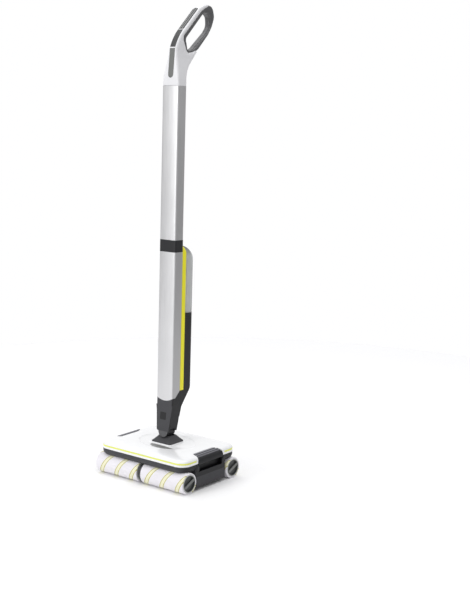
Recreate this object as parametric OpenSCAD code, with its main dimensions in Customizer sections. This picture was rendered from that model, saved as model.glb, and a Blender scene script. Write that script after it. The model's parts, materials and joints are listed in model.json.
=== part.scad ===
// Cordless wet dry floor scrubber: a low floor head with two contra-rotating pairs of rollers, a
// universal joint, and a flat upright stick with its fresh water tank and a looped handle.
// +X is the user's right, +Y points back, +Z up. The floor is z = 0, and the origin is the middle
// of the whole object's footprint.

/* [Stick] */
// Backward lean of the parked stick, degrees
lean = 1.7; // [0:0.1:3]
// Width of the flat tube
tube_w = 55; // [54:0.5:56]
// Depth of the flat tube
tube_d = 32; // [32:0.5:33]
// Height where the handle starts
tube_top_z = 1013; // [990:1:1013]
// Radius of the tube's long edges
tube_edge_r = 5; // [3:0.5:8]
// Wall of the metal tube
tube_wall = 1.4; // [1.2:0.1:2]

/* [Rollers] */
// Outer radius of the fleece sleeve
roller_r = 27.5; // [27:0.5:28]
// Outer end of each roller, from the middle of the head
roller_end_x = 151.5; // [140:0.5:152]
// Inner end of each roller
roller_inner_x = 6.5; // [6.5:0.5:8]
// Thickness of the fleece
fleece_t = 3.5; // [2:0.5:4]

/* [Gear train] */
// Width of every gear
gear_w = 6; // [5:0.5:6]
// Play at the pitch circle, per flank
backlash = 0.12; // [0.1:0.01:0.16]

/* [Floor head] */
// Width of the dark chassis and the white cover
head_w = 296; // [292:1:298]
// Depth of the chassis and the cover
head_d = 214; // [212:1:216]
// Corner radius of the head, seen from above
head_corner_r = 28; // [24:1:32]

/* [Joint] */
// Height of the tilt axis
tilt_z = 100; // [99:0.5:100]
// Distance from the tilt axis up to the swivel axis
swivel_rise = 21; // [21:0.5:22]
// Radius of both joint pins
pin_r = 3; // [2.5:0.5:3]
// Radial running clearance of a pin or shaft
running = 0.05; // [0.03:0.01:0.08]

/* [Water tanks] */
// Height of the fresh water tank's lower edge
tank_seam_z = 420; // [410:1:430]
// Height of the fresh water tank's top
tank_top_z = 607; // [600:1:607]
// Wall of the tanks
tank_wall = 2; // [1.5:0.5:2.5]

/* [Hidden] */
$fn = 64;
far = 400;
head_y = -28.5;
axle_z = roller_r;
swivel_z = tilt_z + swivel_rise;

// Gears in a line from the front roller shaft to the rear one, which fixes where the rollers are
gear_module = 1.25;
teeth = [28, 32, 16, 32, 32, 28];
gear_r = [for (t = teeth) t * gear_module / 2];
roller_y = gear_r[0] / 2 + gear_r[1] + gear_r[2] + gear_r[3] + gear_r[4] + gear_r[5] / 2;
function gear_y(k) = k == 0 ? -roller_y : gear_y(k - 1) + gear_r[k - 1] + gear_r[k];
function gear_phase(k) = k == 0 ? 0 : 180 - (gear_phase(k - 1) * teeth[k - 1] / 360 + 0.5) * 360 / teeth[k];
pressure_angle = 20;
shaft_r = 4;
hex_r = 5.2;
hex_end_x = 38;
idler_pin_r = 2;
gearbox_half = 5.5;
gearbox_wall = 2;
gear_gap = 0.8;

// Chassis
belly_z = 10;
band_z = 52;
deck_z = 60;
rim_z = 70;
arch_r = roller_r + 2;
skirt_d = 118;
hold_x = 128;
hold_d = 104;

// Cover
cover_wall = 2.5;
crown_z = 90;
collar_z = 94;
accent_z = 76;
accent_h = 4;
accent_t = 1.2;
aperture = 52;

// Release grips
grip_pin = [129, 80];
grip_pin_r = 1.5;
post_y = 51;
post_t = 3.4;
grip_gap = 0.8;

// Joint
tilt_barrel_r = 7;
ear_x = 13.2;
ear_t = 4;
ear_r = 8;
tongue_r = 16;
front_tongue_y = -19;
rear_tongue_y = 6;
tongue_t = 5;

// Neck and body
hose_r = 2.5;
hose_z = 206;
hose_y = 31;
hose_lean = 9.6;
hose_foot_z = 145;
neck_bottom_w = 40;
neck_back_y = 13;
shell_foot_z = 203;
shell_foot_r = 51;
band_low_z = 593;
band_high_z = 624;
frame_front_y = 16.5;
frame_foot_z = 228;
frame_corner_r = 20;
frame_rim = 6;
tank_front_y = 30.2;
tank_back_y = 66;
tank_w = 50;
tank_corner_r = 14;
tank_brow_r = 36;
tank_foot_h = 12;
housing_wall = 2.5;

// Handle, as points and radii in the stick's side view: [y, z]
leg_w = 27;
grip_w = 24;
strip_w = 15;
strip_t = 3;
key_travel = 1.2;
key_gap = 0.4;
key_room = strip_t + key_travel + 0.8;
handle_knee = [-11, 1108];
handle_bend = [18.6, 1154.4];
handle_bend_r = 127;
handle_crest = [76, 1211];
loop_end = [107, 1191];
loop_end_r = 32;

// ---- placing and shared shapes

// Everything of the floor head, whose middle is in front of the footprint's middle
module on_head() translate([0, head_y, 0]) children();

// Everything above the tilt axis leans back with the stick
module on_stick()
    translate([0, head_y, tilt_z]) rotate([-lean, 0, 0]) translate([0, 0, -tilt_z]) children();

// A side-view outline (y, z) made w wide, centred on x = 0
module side_extrude(w) rotate([90, 0, 90]) linear_extrude(w, center = true) children();

// A cylinder along X, from x0 to x1
module x_rod(r, x0, x1, fn = 64)
    translate([x0, 0, 0]) rotate([0, 90, 0]) cylinder(r = r, h = x1 - x0, $fn = fn);

// A rod on one side of the head: side is -1 left or 1 right, x0 the inner end and x1 the outer one
module side_rod(r, side, x0, x1, fn = 64) x_rod(r, min(side * x0, side * x1), max(side * x0, side * x1), fn);

// A cylinder along Y, from y0 to y1
module y_rod(r, y0, y1) translate([0, y1, 0]) rotate([90, 0, 0]) cylinder(r = r, h = y1 - y0);

module rounded_rect(w, d, r) {
    square([w - 2 * r, d], center = true);
    square([w, d - 2 * r], center = true);
    for (x = [-1, 1]) for (y = [-1, 1]) translate([x * (w / 2 - r), y * (d / 2 - r)]) circle(r);
}

module rounded_slab(w, d, r, z0, z1) translate([0, 0, z0]) linear_extrude(z1 - z0) rounded_rect(w, d, r);

module box(x0, x1, y0, y1, z0, z1) translate([x0, y0, z0]) cube([x1 - x0, y1 - y0, z1 - z0]);

// The same on one side of the head
module side_box(side, x0, x1, y0, y1, z0, z1)
    box(min(side * x0, side * x1), max(side * x0, side * x1), y0, y1, z0, z1);

// ---- gears

function involute(a) = tan(a) * 180 / PI - a;
function half_tooth(t, r, base_r) =
    90 / t - backlash / (t * gear_module / 2) * 180 / PI + involute(pressure_angle)
    - (r > base_r ? involute(acos(base_r / r)) : 0);

module gear_outline(t) {
    pitch = t * gear_module / 2;
    base_r = pitch * cos(pressure_angle);
    rise = [pitch - 1.25 * gear_module, base_r, (base_r + pitch) / 2, pitch, pitch + 0.9 * gear_module];
    fall = [for (i = [4:-1:0]) rise[i]];
    polygon([
        for (k = [0:t - 1]) for (side = [-1, 1]) for (r = side < 0 ? rise : fall)
            let (a = k * 360 / t + side * half_tooth(t, r, base_r)) [r * cos(a), r * sin(a)]
    ]);
}

// Gear number k of the train, in its place, with a bore
module train_gear(k, bore_r)
    on_head() translate([0, gear_y(k), axle_z])
        difference() {
            side_extrude(gear_w) rotate(gear_phase(k)) gear_outline(teeth[k]);
            x_rod(bore_r, -gear_w, gear_w);
        }

module front_shaft_gear() color("white") train_gear(0, shaft_r);
module front_idler_gear() color("white") train_gear(1, idler_pin_r + running);
module rear_idler_gear_a() color("white") train_gear(3, idler_pin_r + running);
module rear_idler_gear_b() color("white") train_gear(4, idler_pin_r + running);
module rear_shaft_gear() color("white") train_gear(5, shaft_r);

motor_shaft_r = 1.6;
motor_shaft_x = 24;
module motor_pinion() color("goldenrod") {
    train_gear(2, motor_shaft_r);
    on_head() translate([0, gear_y(2), axle_z]) x_rod(motor_shaft_r, -gear_w / 2, motor_shaft_x);
}

module roller_shaft(y) on_head() translate([0, y, axle_z]) {
    x_rod(shaft_r, -roller_inner_x, roller_inner_x);
    for (s = [-1, 1]) side_rod(hex_r, s, roller_inner_x, hex_end_x, 6);
}
module front_shaft() color("silver") roller_shaft(-roller_y);
module rear_shaft() color("silver") roller_shaft(roller_y);

// Side outline of the gearbox, grown from the gears by extra
module gearbox_outline(extra) {
    for (s = [-1, 1]) hull() {
        translate([s * roller_y, axle_z]) circle(gear_r[0] + extra);
        translate([s * 50, axle_z]) circle(gear_r[1] + extra);
    }
    translate([-50, axle_z - gear_r[1] - extra]) square([100, 2 * (gear_r[1] + extra)]);
}

module gearbox_housing() color("dimgray") on_head() difference() {
    side_extrude(2 * gearbox_half) gearbox_outline(gear_module + gear_gap + gearbox_wall);
    side_extrude(2 * (gearbox_half - gearbox_wall)) gearbox_outline(gear_module + gear_gap);
    for (k = [0, 5]) translate([0, gear_y(k), axle_z]) x_rod(shaft_r + 3, -far, far);
    for (k = [1, 3, 4]) translate([0, gear_y(k), axle_z]) x_rod(idler_pin_r, -far, far);
    translate([0, gear_y(2), axle_z]) x_rod(motor_shaft_r + 1, 0, far);
}

module idler_pins() color("silver") on_head()
    for (k = [1, 3, 4]) translate([0, gear_y(k), axle_z]) x_rod(idler_pin_r, -gearbox_half, gearbox_half);

module shaft_bearings() color("peru") on_head()
    for (k = [0, 5]) for (x = [gearbox_wall - gearbox_half - 2, gearbox_half - gearbox_wall])
        translate([0, gear_y(k), axle_z]) difference() {
            x_rod(shaft_r + 3, x, x + gearbox_wall);
            x_rod(shaft_r + running, -far, far);
        }

motor_r = 15;
motor_end_x = 52;
module drive_motor() color("silver") on_head() translate([0, gear_y(2), axle_z]) difference() {
    union() {
        x_rod(motor_r, gearbox_half, motor_end_x);
        x_rod(6, motor_end_x, motor_end_x + 4);
    }
    x_rod(motor_shaft_r + running, 0, motor_shaft_x + 2);
}

// ---- rollers: side is -1 left or 1 right, y is the shaft's place

module on_roller(side, y) on_head() translate([0, y, axle_z]) mirror([side < 0 ? 1 : 0, 0, 0]) children();

core_r = roller_r - fleece_t;
core_wall = 3;
module roller_sleeve(side, y) color("white") on_roller(side, y) difference() {
    x_rod(roller_r, roller_inner_x + 0.5, roller_end_x);
    x_rod(core_r, 0, far);
}

hub_end_x = 40;
module roller_core(side, y) color("lightgray") on_roller(side, y) difference() {
    union() {
        difference() {
            x_rod(core_r, roller_inner_x + 0.5, roller_end_x);
            x_rod(core_r - core_wall, roller_inner_x + 4, far);
        }
        x_rod(9, roller_inner_x + 2, hub_end_x);
    }
    x_rod(hex_r + 0.1, 0, far, 6);
}

cap_r = core_r - core_wall;
cap_bar_w = 9;
cap_bar_turn = 65;
module roller_cap(side, y) color("dimgray") on_roller(side, y) difference() {
    x_rod(cap_r, roller_end_x - 7, roller_end_x + 0.8);
    difference() {
        x_rod(cap_r - 2.5, roller_end_x - 3, far);
        rotate([-cap_bar_turn, 0, 0]) box(0, far, -cap_bar_w / 2, cap_bar_w / 2, -far, far);
    }
}

module sleeve_front_left() roller_sleeve(-1, -roller_y);
module sleeve_front_right() roller_sleeve(1, -roller_y);
module sleeve_rear_left() roller_sleeve(-1, roller_y);
module sleeve_rear_right() roller_sleeve(1, roller_y);
module core_front_left() roller_core(-1, -roller_y);
module core_front_right() roller_core(1, -roller_y);
module core_rear_left() roller_core(-1, roller_y);
module core_rear_right() roller_core(1, roller_y);
module cap_front_left() roller_cap(-1, -roller_y);
module cap_front_right() roller_cap(1, -roller_y);
module cap_rear_left() roller_cap(-1, roller_y);
module cap_rear_right() roller_cap(1, roller_y);

// ---- floor head

blade_z = 43;
blade_t = 1.5;
slot_x0 = 12;
slot_x1 = 124;

module head_frame() color("dimgray") on_head() difference() {
    union() {
        rounded_slab(head_w, head_d, head_corner_r, band_z, rim_z);
        rounded_slab(2 * roller_end_x - 4, skirt_d, 5, belly_z, rim_z - 2);
        for (s = [-1, 1]) for (y = [-post_y, post_y - post_t])
            box(s * grip_pin[0] - 4, s * grip_pin[0] + 4, y, y + post_t, deck_z, grip_pin[1] + 3.5);
    }
    for (s = [-1, 1]) {
        // roller arches
        translate([0, s * roller_y, axle_z]) x_rod(arch_r, -far, far);
        // finger recesses at both ends
        side_box(s, 137, far, -46, 46, 48, 66);
        // pin holes in the grip's posts
        translate([s * grip_pin[0], 0, grip_pin[1]]) y_rod(grip_pin_r, -60, 60);
        // pockets of the charging contacts
        box(s * 14 - 3, s * 14 + 3, head_d / 2 - 3, far, 56, 66);
        // blade seats and the gullies that let dirty water into the tanks
        for (x = [-slot_x1, slot_x0]) {
            box(x, x + slot_x1 - slot_x0, s > 0 ? 56 : -64, s > 0 ? 64 : -56, blade_z, blade_z + blade_t);
            box(x, x + slot_x1 - slot_x0, s > 0 ? 51 : -70, s > 0 ? 70 : -51, 46, 50);
        }
    }
    // room for the grips to swing in
    intersection() {
        grip_window(0.6);
        box(-far, far, -far, far, 63, far);
    }
    // hold for the tanks and the drive, and the space under the cover
    box(-hold_x, hold_x, -hold_d / 2, hold_d / 2, 0, 200);
    difference() {
        rounded_slab(head_w - 8, head_d - 8, head_corner_r - 4, deck_z, 200);
        for (s = [-1, 1]) side_box(s, 123, far, -post_y, post_y, 0, far);
    }
    // slot for the gearbox
    box(-6, 6, -far, far, -1, 52.8);
}

module waste_tank(x0, x1) color("gray") on_head() difference() {
    box(x0, x1, -hold_d / 2 + 0.5, hold_d / 2 - 0.5, belly_z, 44);
    box(x0 + tank_wall, x1 - tank_wall, -hold_d / 2 + 3, hold_d / 2 - 3, belly_z + 2.5, 60);
}
module waste_tank_left() waste_tank(0.5 - hold_x, -6.5);
module waste_tank_right() waste_tank(58, hold_x - 0.5);

// Thin rubber blades that stop just short of the rollers
module scraper_blades() color("black") on_head()
    for (s = [-1, 1]) for (x = [-slot_x1, slot_x0])
        box(x, x + slot_x1 - slot_x0, s > 0 ? 56 : -64.6, s > 0 ? 64.6 : -56, blade_z, blade_z + blade_t);

module water_bars() color("gray") on_head()
    for (s = [-1, 1]) translate([0, s * 80, deck_z + 4]) difference() {
        union() {
            x_rod(3, -120, 120);
            for (x = [-100, 100]) box(x - 4, x + 4, -4, 4, -4, 0);
        }
        for (x = [-100:25:100]) translate([x, 0, -10]) cylinder(r = 0.6, h = 10, $fn = 16);
    }

// Two metal pads in the rear of the chassis
module charging_contacts() color("gold") on_head()
    for (s = [-1, 1]) box(s * 14 - 3, s * 14 + 3, head_d / 2 - 3, head_d / 2 + 0.4, 56, 66);

// A domed shape between the rim and the crown, shrunk by inset
module cover_form(inset) hull() {
    w = head_w - 2 * inset;
    d = head_d - 2 * inset;
    rounded_slab(w, d, head_corner_r - inset, rim_z - (inset > 0 ? 1 : 0), 80, $fn = 32);
    rounded_slab(w - 20, d - 20, 24 - inset, 83, 86.5 - inset, $fn = 32);
    rounded_slab(190, 120, 55, 83, crown_z - inset, $fn = 32);
    rounded_slab(64, 64, 10, 83, collar_z - inset, $fn = 32);
}

module accent_ring(out)
    rounded_slab(head_w + out, head_d + out, head_corner_r, accent_z, accent_z + accent_h);

module grip_window(extra)
    for (s = [-1, 1]) hull() {
        side_box(s, 124, 125, -43 - extra, 43 + extra, 60, 120);
        side_box(s, 150, 160, -50 - extra, 50 + extra, 60, 120);
    }

module head_cover() color("white") on_head() difference() {
    cover_form(0);
    cover_form(cover_wall);
    difference() {
        accent_ring(20);
        accent_ring(-2 * accent_t);
    }
    grip_window(0);
    rounded_slab(aperture, aperture, 6, 60, 120);
}

module cover_accent() color("yellow") on_head() difference() {
    accent_ring(0);
    accent_ring(-2 * accent_t);
    grip_window(0);
}

// Outline of the grip across its pin, in (x, z)
module grip_outline() difference() {
    union() {
        polygon([
            [125.6, 80], [125.6, 87.6], [127, 91.5], [138, 88.5], [146, 80.5], [150, 69], [146, 68],
            [142, 77], [135, 84], [132.4, 80]
        ]);
        translate(grip_pin) circle(3.6);
    }
    translate(grip_pin) circle(grip_pin_r + running);
}

module release_grip(side) color("dimgray") on_head() mirror([side < 0 ? 1 : 0, 0, 0]) intersection() {
    translate([0, 60, 0]) rotate([90, 0, 0]) linear_extrude(120) grip_outline();
    linear_extrude(200) polygon([
        for (p = [[120, -43], [125, -43], [150, -50], [160, -50], [160, 50], [150, 50], [125, 43], [120, 43]])
            [p[0], p[1] - sign(p[1]) * grip_gap]
    ]);
}
module release_grip_left() release_grip(-1);
module release_grip_right() release_grip(1);

module grip_pins() color("silver") on_head()
    for (s = [-1, 1]) translate([s * grip_pin[0], 0, grip_pin[1]]) y_rod(grip_pin_r, -post_y, post_y);

// ---- joint

module joint_bracket() color("dimgray") on_head() difference() {
    union() {
        box(-30, 30, -58, 58, deck_z, deck_z + 4);
        for (s = [-1, 1]) {
            side_box(s, ear_x, ear_x + ear_t, -ear_r, ear_r, deck_z, tilt_z);
            translate([0, 0, tilt_z]) side_rod(ear_r, s, ear_x, ear_x + ear_t);
        }
    }
    translate([0, 0, tilt_z]) x_rod(pin_r, -far, far);
}

module tilt_pin() color("silver") on_head()
    translate([0, 0, tilt_z]) x_rod(pin_r, -ear_x - ear_t, ear_x + ear_t);

// Block that carries both pins
module joint_link() color("gray") on_stick() difference() {
    union() {
        translate([0, 0, tilt_z]) x_rod(tilt_barrel_r, -12.7, 12.7);
        box(-10, 10, -9, 5.4, tilt_z, swivel_z);
        box(-10, 10, -13.4, 5.4, swivel_z - 8, swivel_z);
        translate([0, 0, swivel_z]) y_rod(10, -13.4, 5.4);
    }
    translate([0, 0, tilt_z]) x_rod(pin_r + running, -far, far);
    translate([0, 0, swivel_z]) y_rod(pin_r + running, -far, far);
}

module swivel_pin() color("silver") on_stick()
    translate([0, 0, swivel_z]) y_rod(pin_r, front_tongue_y, rear_tongue_y + tongue_t);

// Soft rubber pyramid round the joint, with a round pocket behind the front tongue
module joint_boot() color("dimgray") on_head() difference() {
    hull() {
        rounded_slab(58, 58, 5, collar_z, collar_z + 1.5, $fn = 32);
        translate([0, 1, 0]) rounded_slab(38, 28, 4, 110, 111, $fn = 32);
    }
    hull() {
        rounded_slab(53, 53, 4, collar_z - 1, collar_z, $fn = 32);
        translate([0, 1, 0]) rounded_slab(35, 23, 3, 111, 112, $fn = 32);
    }
    translate([0, 0, swivel_z]) y_rod(tongue_r + 1, -40, -12.5);
    translate([0, 0, swivel_z]) y_rod(tongue_r + 1, 4, 13);
    translate([0, -2, 120]) cube([42, 44, 20], center = true);
}

// ---- neck and body

module tube_section(extra) rounded_rect(tube_w + 2 * extra, tube_d + 2 * extra, tube_edge_r + extra);
module tube_slab(extra, z0, z1) translate([0, 0, z0]) linear_extrude(z1 - z0) tube_section(extra);

// Everything below the metal shell's curved and slanting lower edge
module below_shell() {
    difference() {
        box(-60, 60, -60, 60, 100, shell_foot_z + shell_foot_r);
        translate([0, 0, shell_foot_z + shell_foot_r]) y_rod(shell_foot_r, -61, 61);
    }
    side_extrude(120) polygon([[-10, 190], [-10, 205], [tube_d / 2 + 1, 233], [60, 250], [60, 190]]);
}

module neck_housing() color("dimgray") on_stick() difference() {
    union() {
        intersection() {
            translate([0, tube_d / 2, 0]) rotate([90, 0, 0]) linear_extrude(tube_d) polygon([
                [-neck_bottom_w / 2, swivel_z + 1], [neck_bottom_w / 2, swivel_z + 1],
                [tube_w / 2, 190], [-tube_w / 2, 190]
            ]);
            side_extrude(100) polygon([
                [-16, swivel_z + 1], [neck_back_y, swivel_z + 1], [16, 150], [16, 190], [-16, 190]
            ]);
        }
        intersection() {
            tube_slab(0, 190, 240);
            below_shell();
        }
        // round-ended tongues that hold the swivel pin
        for (y = [front_tongue_y, rear_tongue_y]) {
            translate([0, 0, swivel_z]) y_rod(tongue_r, y, y + tongue_t);
            box(-tongue_r, tongue_r, y, y + tongue_t, swivel_z, swivel_z + 8);
        }
    }
    translate([0, 0, swivel_z]) y_rod(pin_r, -far, far);
    translate([0, 0, swivel_z]) y_rod(22, front_tongue_y + tongue_t, rear_tongue_y);
    // cable and hose duct
    box(-14, 14, -8, 10, 140, 300);
    translate([0, 0, hose_z]) y_rod(hose_r + 0.5, 5, 40);
}

module front_shell() color("silver") on_stick() difference() {
    tube_slab(0, 195, band_low_z);
    tube_slab(-tube_wall, 150, 700);
    below_shell();
}

module coupling_band() color("black") on_stick() difference() {
    tube_slab(0.3, band_low_z, band_high_z);
    tube_slab(-tube_wall - 0.1, 500, 700);
}

module tube_spigot() color("gray") on_stick() difference() {
    tube_slab(-tube_wall - 0.1, band_low_z - 28, band_high_z + 28);
    tube_slab(-tube_wall - 2.6, 500, 700);
}

module upper_tube() color("silver") on_stick() difference() {
    tube_slab(0, band_high_z, tube_top_z);
    tube_slab(-tube_wall, 500, 1100);
}

// Ring between the metal shell and the tank, round at its top
module tank_frame_outline(inset) {
    corner_z = tank_top_z - frame_corner_r;
    r = frame_corner_r - inset;
    w = tank_w + 1 - 2 * inset;
    translate([-w / 2, frame_foot_z + inset]) square([w, corner_z - frame_foot_z - inset]);
    translate([r - w / 2, corner_z - 1]) square([w - 2 * r, r + 1]);
    for (x = [r - w / 2, w / 2 - r]) translate([x, corner_z]) circle(r);
}
module tank_frame() color("gold") on_stick()
    translate([0, tank_front_y - 0.2, 0]) rotate([90, 0, 0])
        linear_extrude(tank_front_y - 0.2 - frame_front_y) difference() {
            tank_frame_outline(0);
            tank_frame_outline(frame_rim);
        }

// Plan outline of the tank and the housing under it, shrunk by inset
module tank_plan(inset) intersection() {
    translate([0, tank_back_y - 50]) rounded_rect(tank_w - 2 * inset, 100 - 2 * inset, tank_corner_r - inset);
    translate([-50, frame_front_y + inset]) square([100, 100]);
}

// Side view of the housing's bulge, shrunk by inset
module housing_side(inset) polygon([
    [frame_front_y + inset, 158 + 3 * inset], [24 - inset, 185], [40 - inset, 207], [58 - inset, 231],
    [64.5 - inset, 246], [tank_back_y - inset, 262], [tank_back_y - inset, tank_seam_z - 0.4 - inset],
    [tank_front_y + inset, tank_seam_z - 0.4 - inset], [tank_front_y + inset, 227.5 + inset],
    [frame_front_y + inset, 227.5 + inset]
]);

valve_y = 47;
module rear_housing() color("dimgray") on_stick() difference() {
    intersection() {
        side_extrude(100) housing_side(0);
        translate([0, 0, 100]) linear_extrude(400) tank_plan(0);
    }
    intersection() {
        side_extrude(100) housing_side(housing_wall);
        translate([0, 0, 100]) linear_extrude(400) tank_plan(housing_wall);
    }
    // socket for the tank's valve
    translate([0, valve_y, tank_seam_z - 20]) cylinder(r = 8.2, h = 30);
    // hose way to the neck
    translate([0, 0, hose_z]) y_rod(hose_r + 0.5, 10, 25);
}

module tank_side(inset) difference() {
    translate([tank_front_y + inset, tank_seam_z + tank_foot_h + inset])
        square([tank_back_y - tank_front_y - 2 * inset, tank_top_z - tank_seam_z - tank_foot_h - 2 * inset]);
    translate([tank_back_y - tank_brow_r, tank_top_z - tank_brow_r]) difference() {
        square([40, 40]);
        circle(tank_brow_r - inset);
    }
}

// The round-topped outline of the tank seen from behind, shrunk by inset
module tank_rear_view(inset)
    translate([0, 100, 0]) rotate([90, 0, 0]) linear_extrude(100) tank_frame_outline(inset);

module fresh_tank() color("lightgray") on_stick() difference() {
    intersection() {
        side_extrude(100) tank_side(0);
        translate([0, 0, 300]) linear_extrude(400) tank_plan(0);
        tank_rear_view(0);
    }
    intersection() {
        tank_rear_view(tank_wall + 0.5);
        side_extrude(100) union() {
            tank_side(tank_wall);
            translate([tank_front_y + 6, tank_seam_z]) square([tank_back_y - tank_front_y - 12, 20]);
        }
        translate([0, 0, 300]) linear_extrude(400) tank_plan(tank_wall + 4);
    }
}

// Dark foot of the tank, with the outlet valve under it
module tank_base() color("dimgray") on_stick() difference() {
    union() {
        intersection() {
            box(-50, 50, tank_front_y, 100, tank_seam_z, tank_seam_z + tank_foot_h);
            translate([0, 0, 300]) linear_extrude(400) tank_plan(0);
        }
        translate([0, valve_y, tank_seam_z - 12]) cylinder(r = 6, h = 14);
    }
    translate([0, valve_y, 300]) cylinder(r = 2.5, h = 300);
    translate([0, valve_y, tank_seam_z - 8]) rotate_extrude() translate([5.2, 0]) square([2, 2.4]);
}

module valve_seal() color("black") on_stick() translate([0, valve_y, tank_seam_z - 8]) difference() {
    cylinder(r = 7.6, h = 2.4);
    translate([0, 0, -1]) cylinder(r = 5.2, h = 5);
}

module battery_pack() color("darkslategray") on_stick() {
    translate([0, -1, 0]) rounded_slab(46, 24, 3, 240, 430);
    translate([0, -1, 0]) rounded_slab(30, 12, 3, 430, 434);
}

module water_pump() color("gray") on_stick() translate([0, valve_y, 0]) {
    translate([0, 0, 330]) cylinder(r = 14, h = 46);
    translate([0, 0, 300]) cylinder(r = 11, h = 30);
    translate([0, 0, 376]) cylinder(r = 5, h = 20);
}

// Hose from the pump's foot, forward through the housing wall and down the neck's duct
module water_hose() color("lightgray") on_stick() {
    translate([0, 0, hose_z]) y_rod(hose_r, 6 - hose_r, hose_y + hose_r);
    translate([0, 6, hose_foot_z]) cylinder(r = hose_r, h = hose_z - hose_foot_z + hose_r + 1);
    translate([0, hose_y, hose_z]) rotate([-hose_lean, 0, 0]) translate([0, 0, -hose_r - 1])
        cylinder(r = hose_r, h = 98.2);
}

module control_board() color("green") on_stick() {
    box(-20, 20, -4, -2.4, 445, 560);
    box(-12, 0, -2.4, 2, 470, 490);
    box(4, 14, -2.4, 1, 510, 525);
    translate([10, 3, 455]) cylinder(r = 4, h = 14);
    box(6, 14, -2.4, 0, 455, 469);
}

module handle_cable() color("black") on_stick() translate([0, 0, 570]) cylinder(r = 2.2, h = 470);

// ---- handle

function arc(c, r, a0, a1, n) = [for (i = [0:n]) let (a = a0 + (a1 - a0) * i / n) c + r * [cos(a), sin(a)]];
bend_centre = handle_bend + handle_bend_r * [cos(-45), sin(-45)];

module handle_outer() {
    polygon(concat(
        [[-tube_d / 2, tube_top_z], [-17, 1034]],
        arc(bend_centre, handle_bend_r, 160, 135, 8),
        [handle_crest, [92, 1219], [107, 1191], [121, 1142], [78, 1105], [66.5, 1099], [45, 1074],
         [31, 1055], [20, 1032], [tube_d / 2, tube_top_z]]
    ));
    translate(loop_end) circle(loop_end_r);
    hull() {
        translate(loop_end) circle(loop_end_r - 4);
        translate([115, 1149]) circle(9);
    }
}

module handle_hole() offset(5, $fn = 32) offset(-5) polygon([
    [24.5, 1132], [92, 1198.5], [105, 1203], [119, 1193], [123.5, 1174], [111, 1153.8], [67.8, 1116.8],
    [52, 1106], [38, 1104]
]);

// The dark grip: a lining round the hole, and the whole rear leg
module grip_region() {
    offset(6, $fn = 32) handle_hole();
    polygon([[58, 1110], [66, 1096], [90, 1090], [160, 1140], [160, 1216], [128, 1215], [104, 1203]]);
}

// Front view that narrows the handle from the tube to the loop
module handle_front(narrow) translate([0, 300, 0]) rotate([90, 0, 0]) linear_extrude(600) {
    polygon([
        [-tube_w / 2, 1000], [tube_w / 2, 1000], [tube_w / 2, tube_top_z], [tube_w / 2 - 1, 1030],
        [21, 1062], [narrow / 2 + 1, 1092], [narrow / 2, 1112], [narrow / 2, 1300], [-narrow / 2, 1300],
        [-narrow / 2, 1112], [-narrow / 2 - 1, 1092], [-21, 1062], [1 - tube_w / 2, 1030],
        [-tube_w / 2, tube_top_z]
    ]);
}

// A strip of the handle's front between two places, w wide and t deep
module panel_side(from, to, depth) {
    step = to - from;
    long = norm(step);
    translate(from) rotate(atan2(step[1], step[0])) translate([0.6, -depth]) square([long - 1.2, depth + 6]);
}
module status_seat(extra) side_extrude(strip_w + 2 * extra)
    panel_side([-16.9, 1036], handle_knee + [-0.2, -2], strip_t + extra);
module bend_seat(extra, depth) side_extrude(strip_w + 2 * extra) intersection() {
    difference() {
        translate(bend_centre) circle(handle_bend_r + 5, $fn = 180);
        translate(bend_centre) circle(handle_bend_r - depth, $fn = 180);
    }
    panel_side(handle_knee + [0, 0.8 - extra], handle_bend + [0.6, 0.3 + extra], 30);
}
module key_seat(extra, depth) side_extrude(strip_w + 2 * extra)
    panel_side(handle_bend + [0.9, 0.9] * (1 - extra), handle_crest + [extra, extra] * 0.7, depth);

module handle_solid(narrow) intersection() {
    side_extrude(100) handle_outer();
    handle_front(narrow);
}

module handle_shell() color("white") on_stick() {
    difference() {
        handle_solid(leg_w);
        side_extrude(100) grip_region();
        status_seat(0);
        bend_seat(key_gap, key_room);
        key_seat(key_gap, key_room);
        translate([0, 0, 1000]) cylinder(r = 3, h = 42);
    }
    difference() {
        tube_slab(-tube_wall - 0.1, tube_top_z - 26, tube_top_z);
        tube_slab(-tube_wall - 3, 900, 1100);
    }
}

module handle_grip() color("dimgray") on_stick() intersection() {
    handle_solid(grip_w);
    side_extrude(100) difference() {
        grip_region();
        handle_hole();
    }
}

module status_panel() color("gray") on_stick() intersection() {
    status_seat(0);
    handle_solid(leg_w);
}
module mode_key() color("dimgray") on_stick() intersection() {
    bend_seat(0, strip_t);
    handle_solid(leg_w);
}
module power_key() color("dimgray") on_stick() intersection() {
    key_seat(0, strip_t);
    handle_solid(leg_w);
}

head_frame();
head_cover();
cover_accent();
gearbox_housing();
drive_motor();
idler_pins();
shaft_bearings();
waste_tank_left();
waste_tank_right();
scraper_blades();
water_bars();
charging_contacts();
joint_bracket();
tilt_pin();
joint_boot();
grip_pins();
release_grip_left();
release_grip_right();
front_shaft();
rear_shaft();
front_shaft_gear();
rear_shaft_gear();
motor_pinion();
front_idler_gear();
rear_idler_gear_a();
rear_idler_gear_b();
sleeve_front_left();
sleeve_front_right();
sleeve_rear_left();
sleeve_rear_right();
core_front_left();
core_front_right();
core_rear_left();
core_rear_right();
cap_front_left();
cap_front_right();
cap_rear_left();
cap_rear_right();
joint_link();
swivel_pin();
neck_housing();
front_shell();
rear_housing();
tank_frame();
battery_pack();
water_pump();
water_hose();
control_board();
coupling_band();
tube_spigot();
upper_tube();
handle_shell();
handle_grip();
status_panel();
handle_cable();
fresh_tank();
tank_base();
valve_seal();
power_key();
mode_key();
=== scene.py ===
import json
import math

import bmesh
import bpy
import numpy as np
from mathutils import Matrix, Vector
from mathutils.geometry import delaunay_2d_cdt

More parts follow.
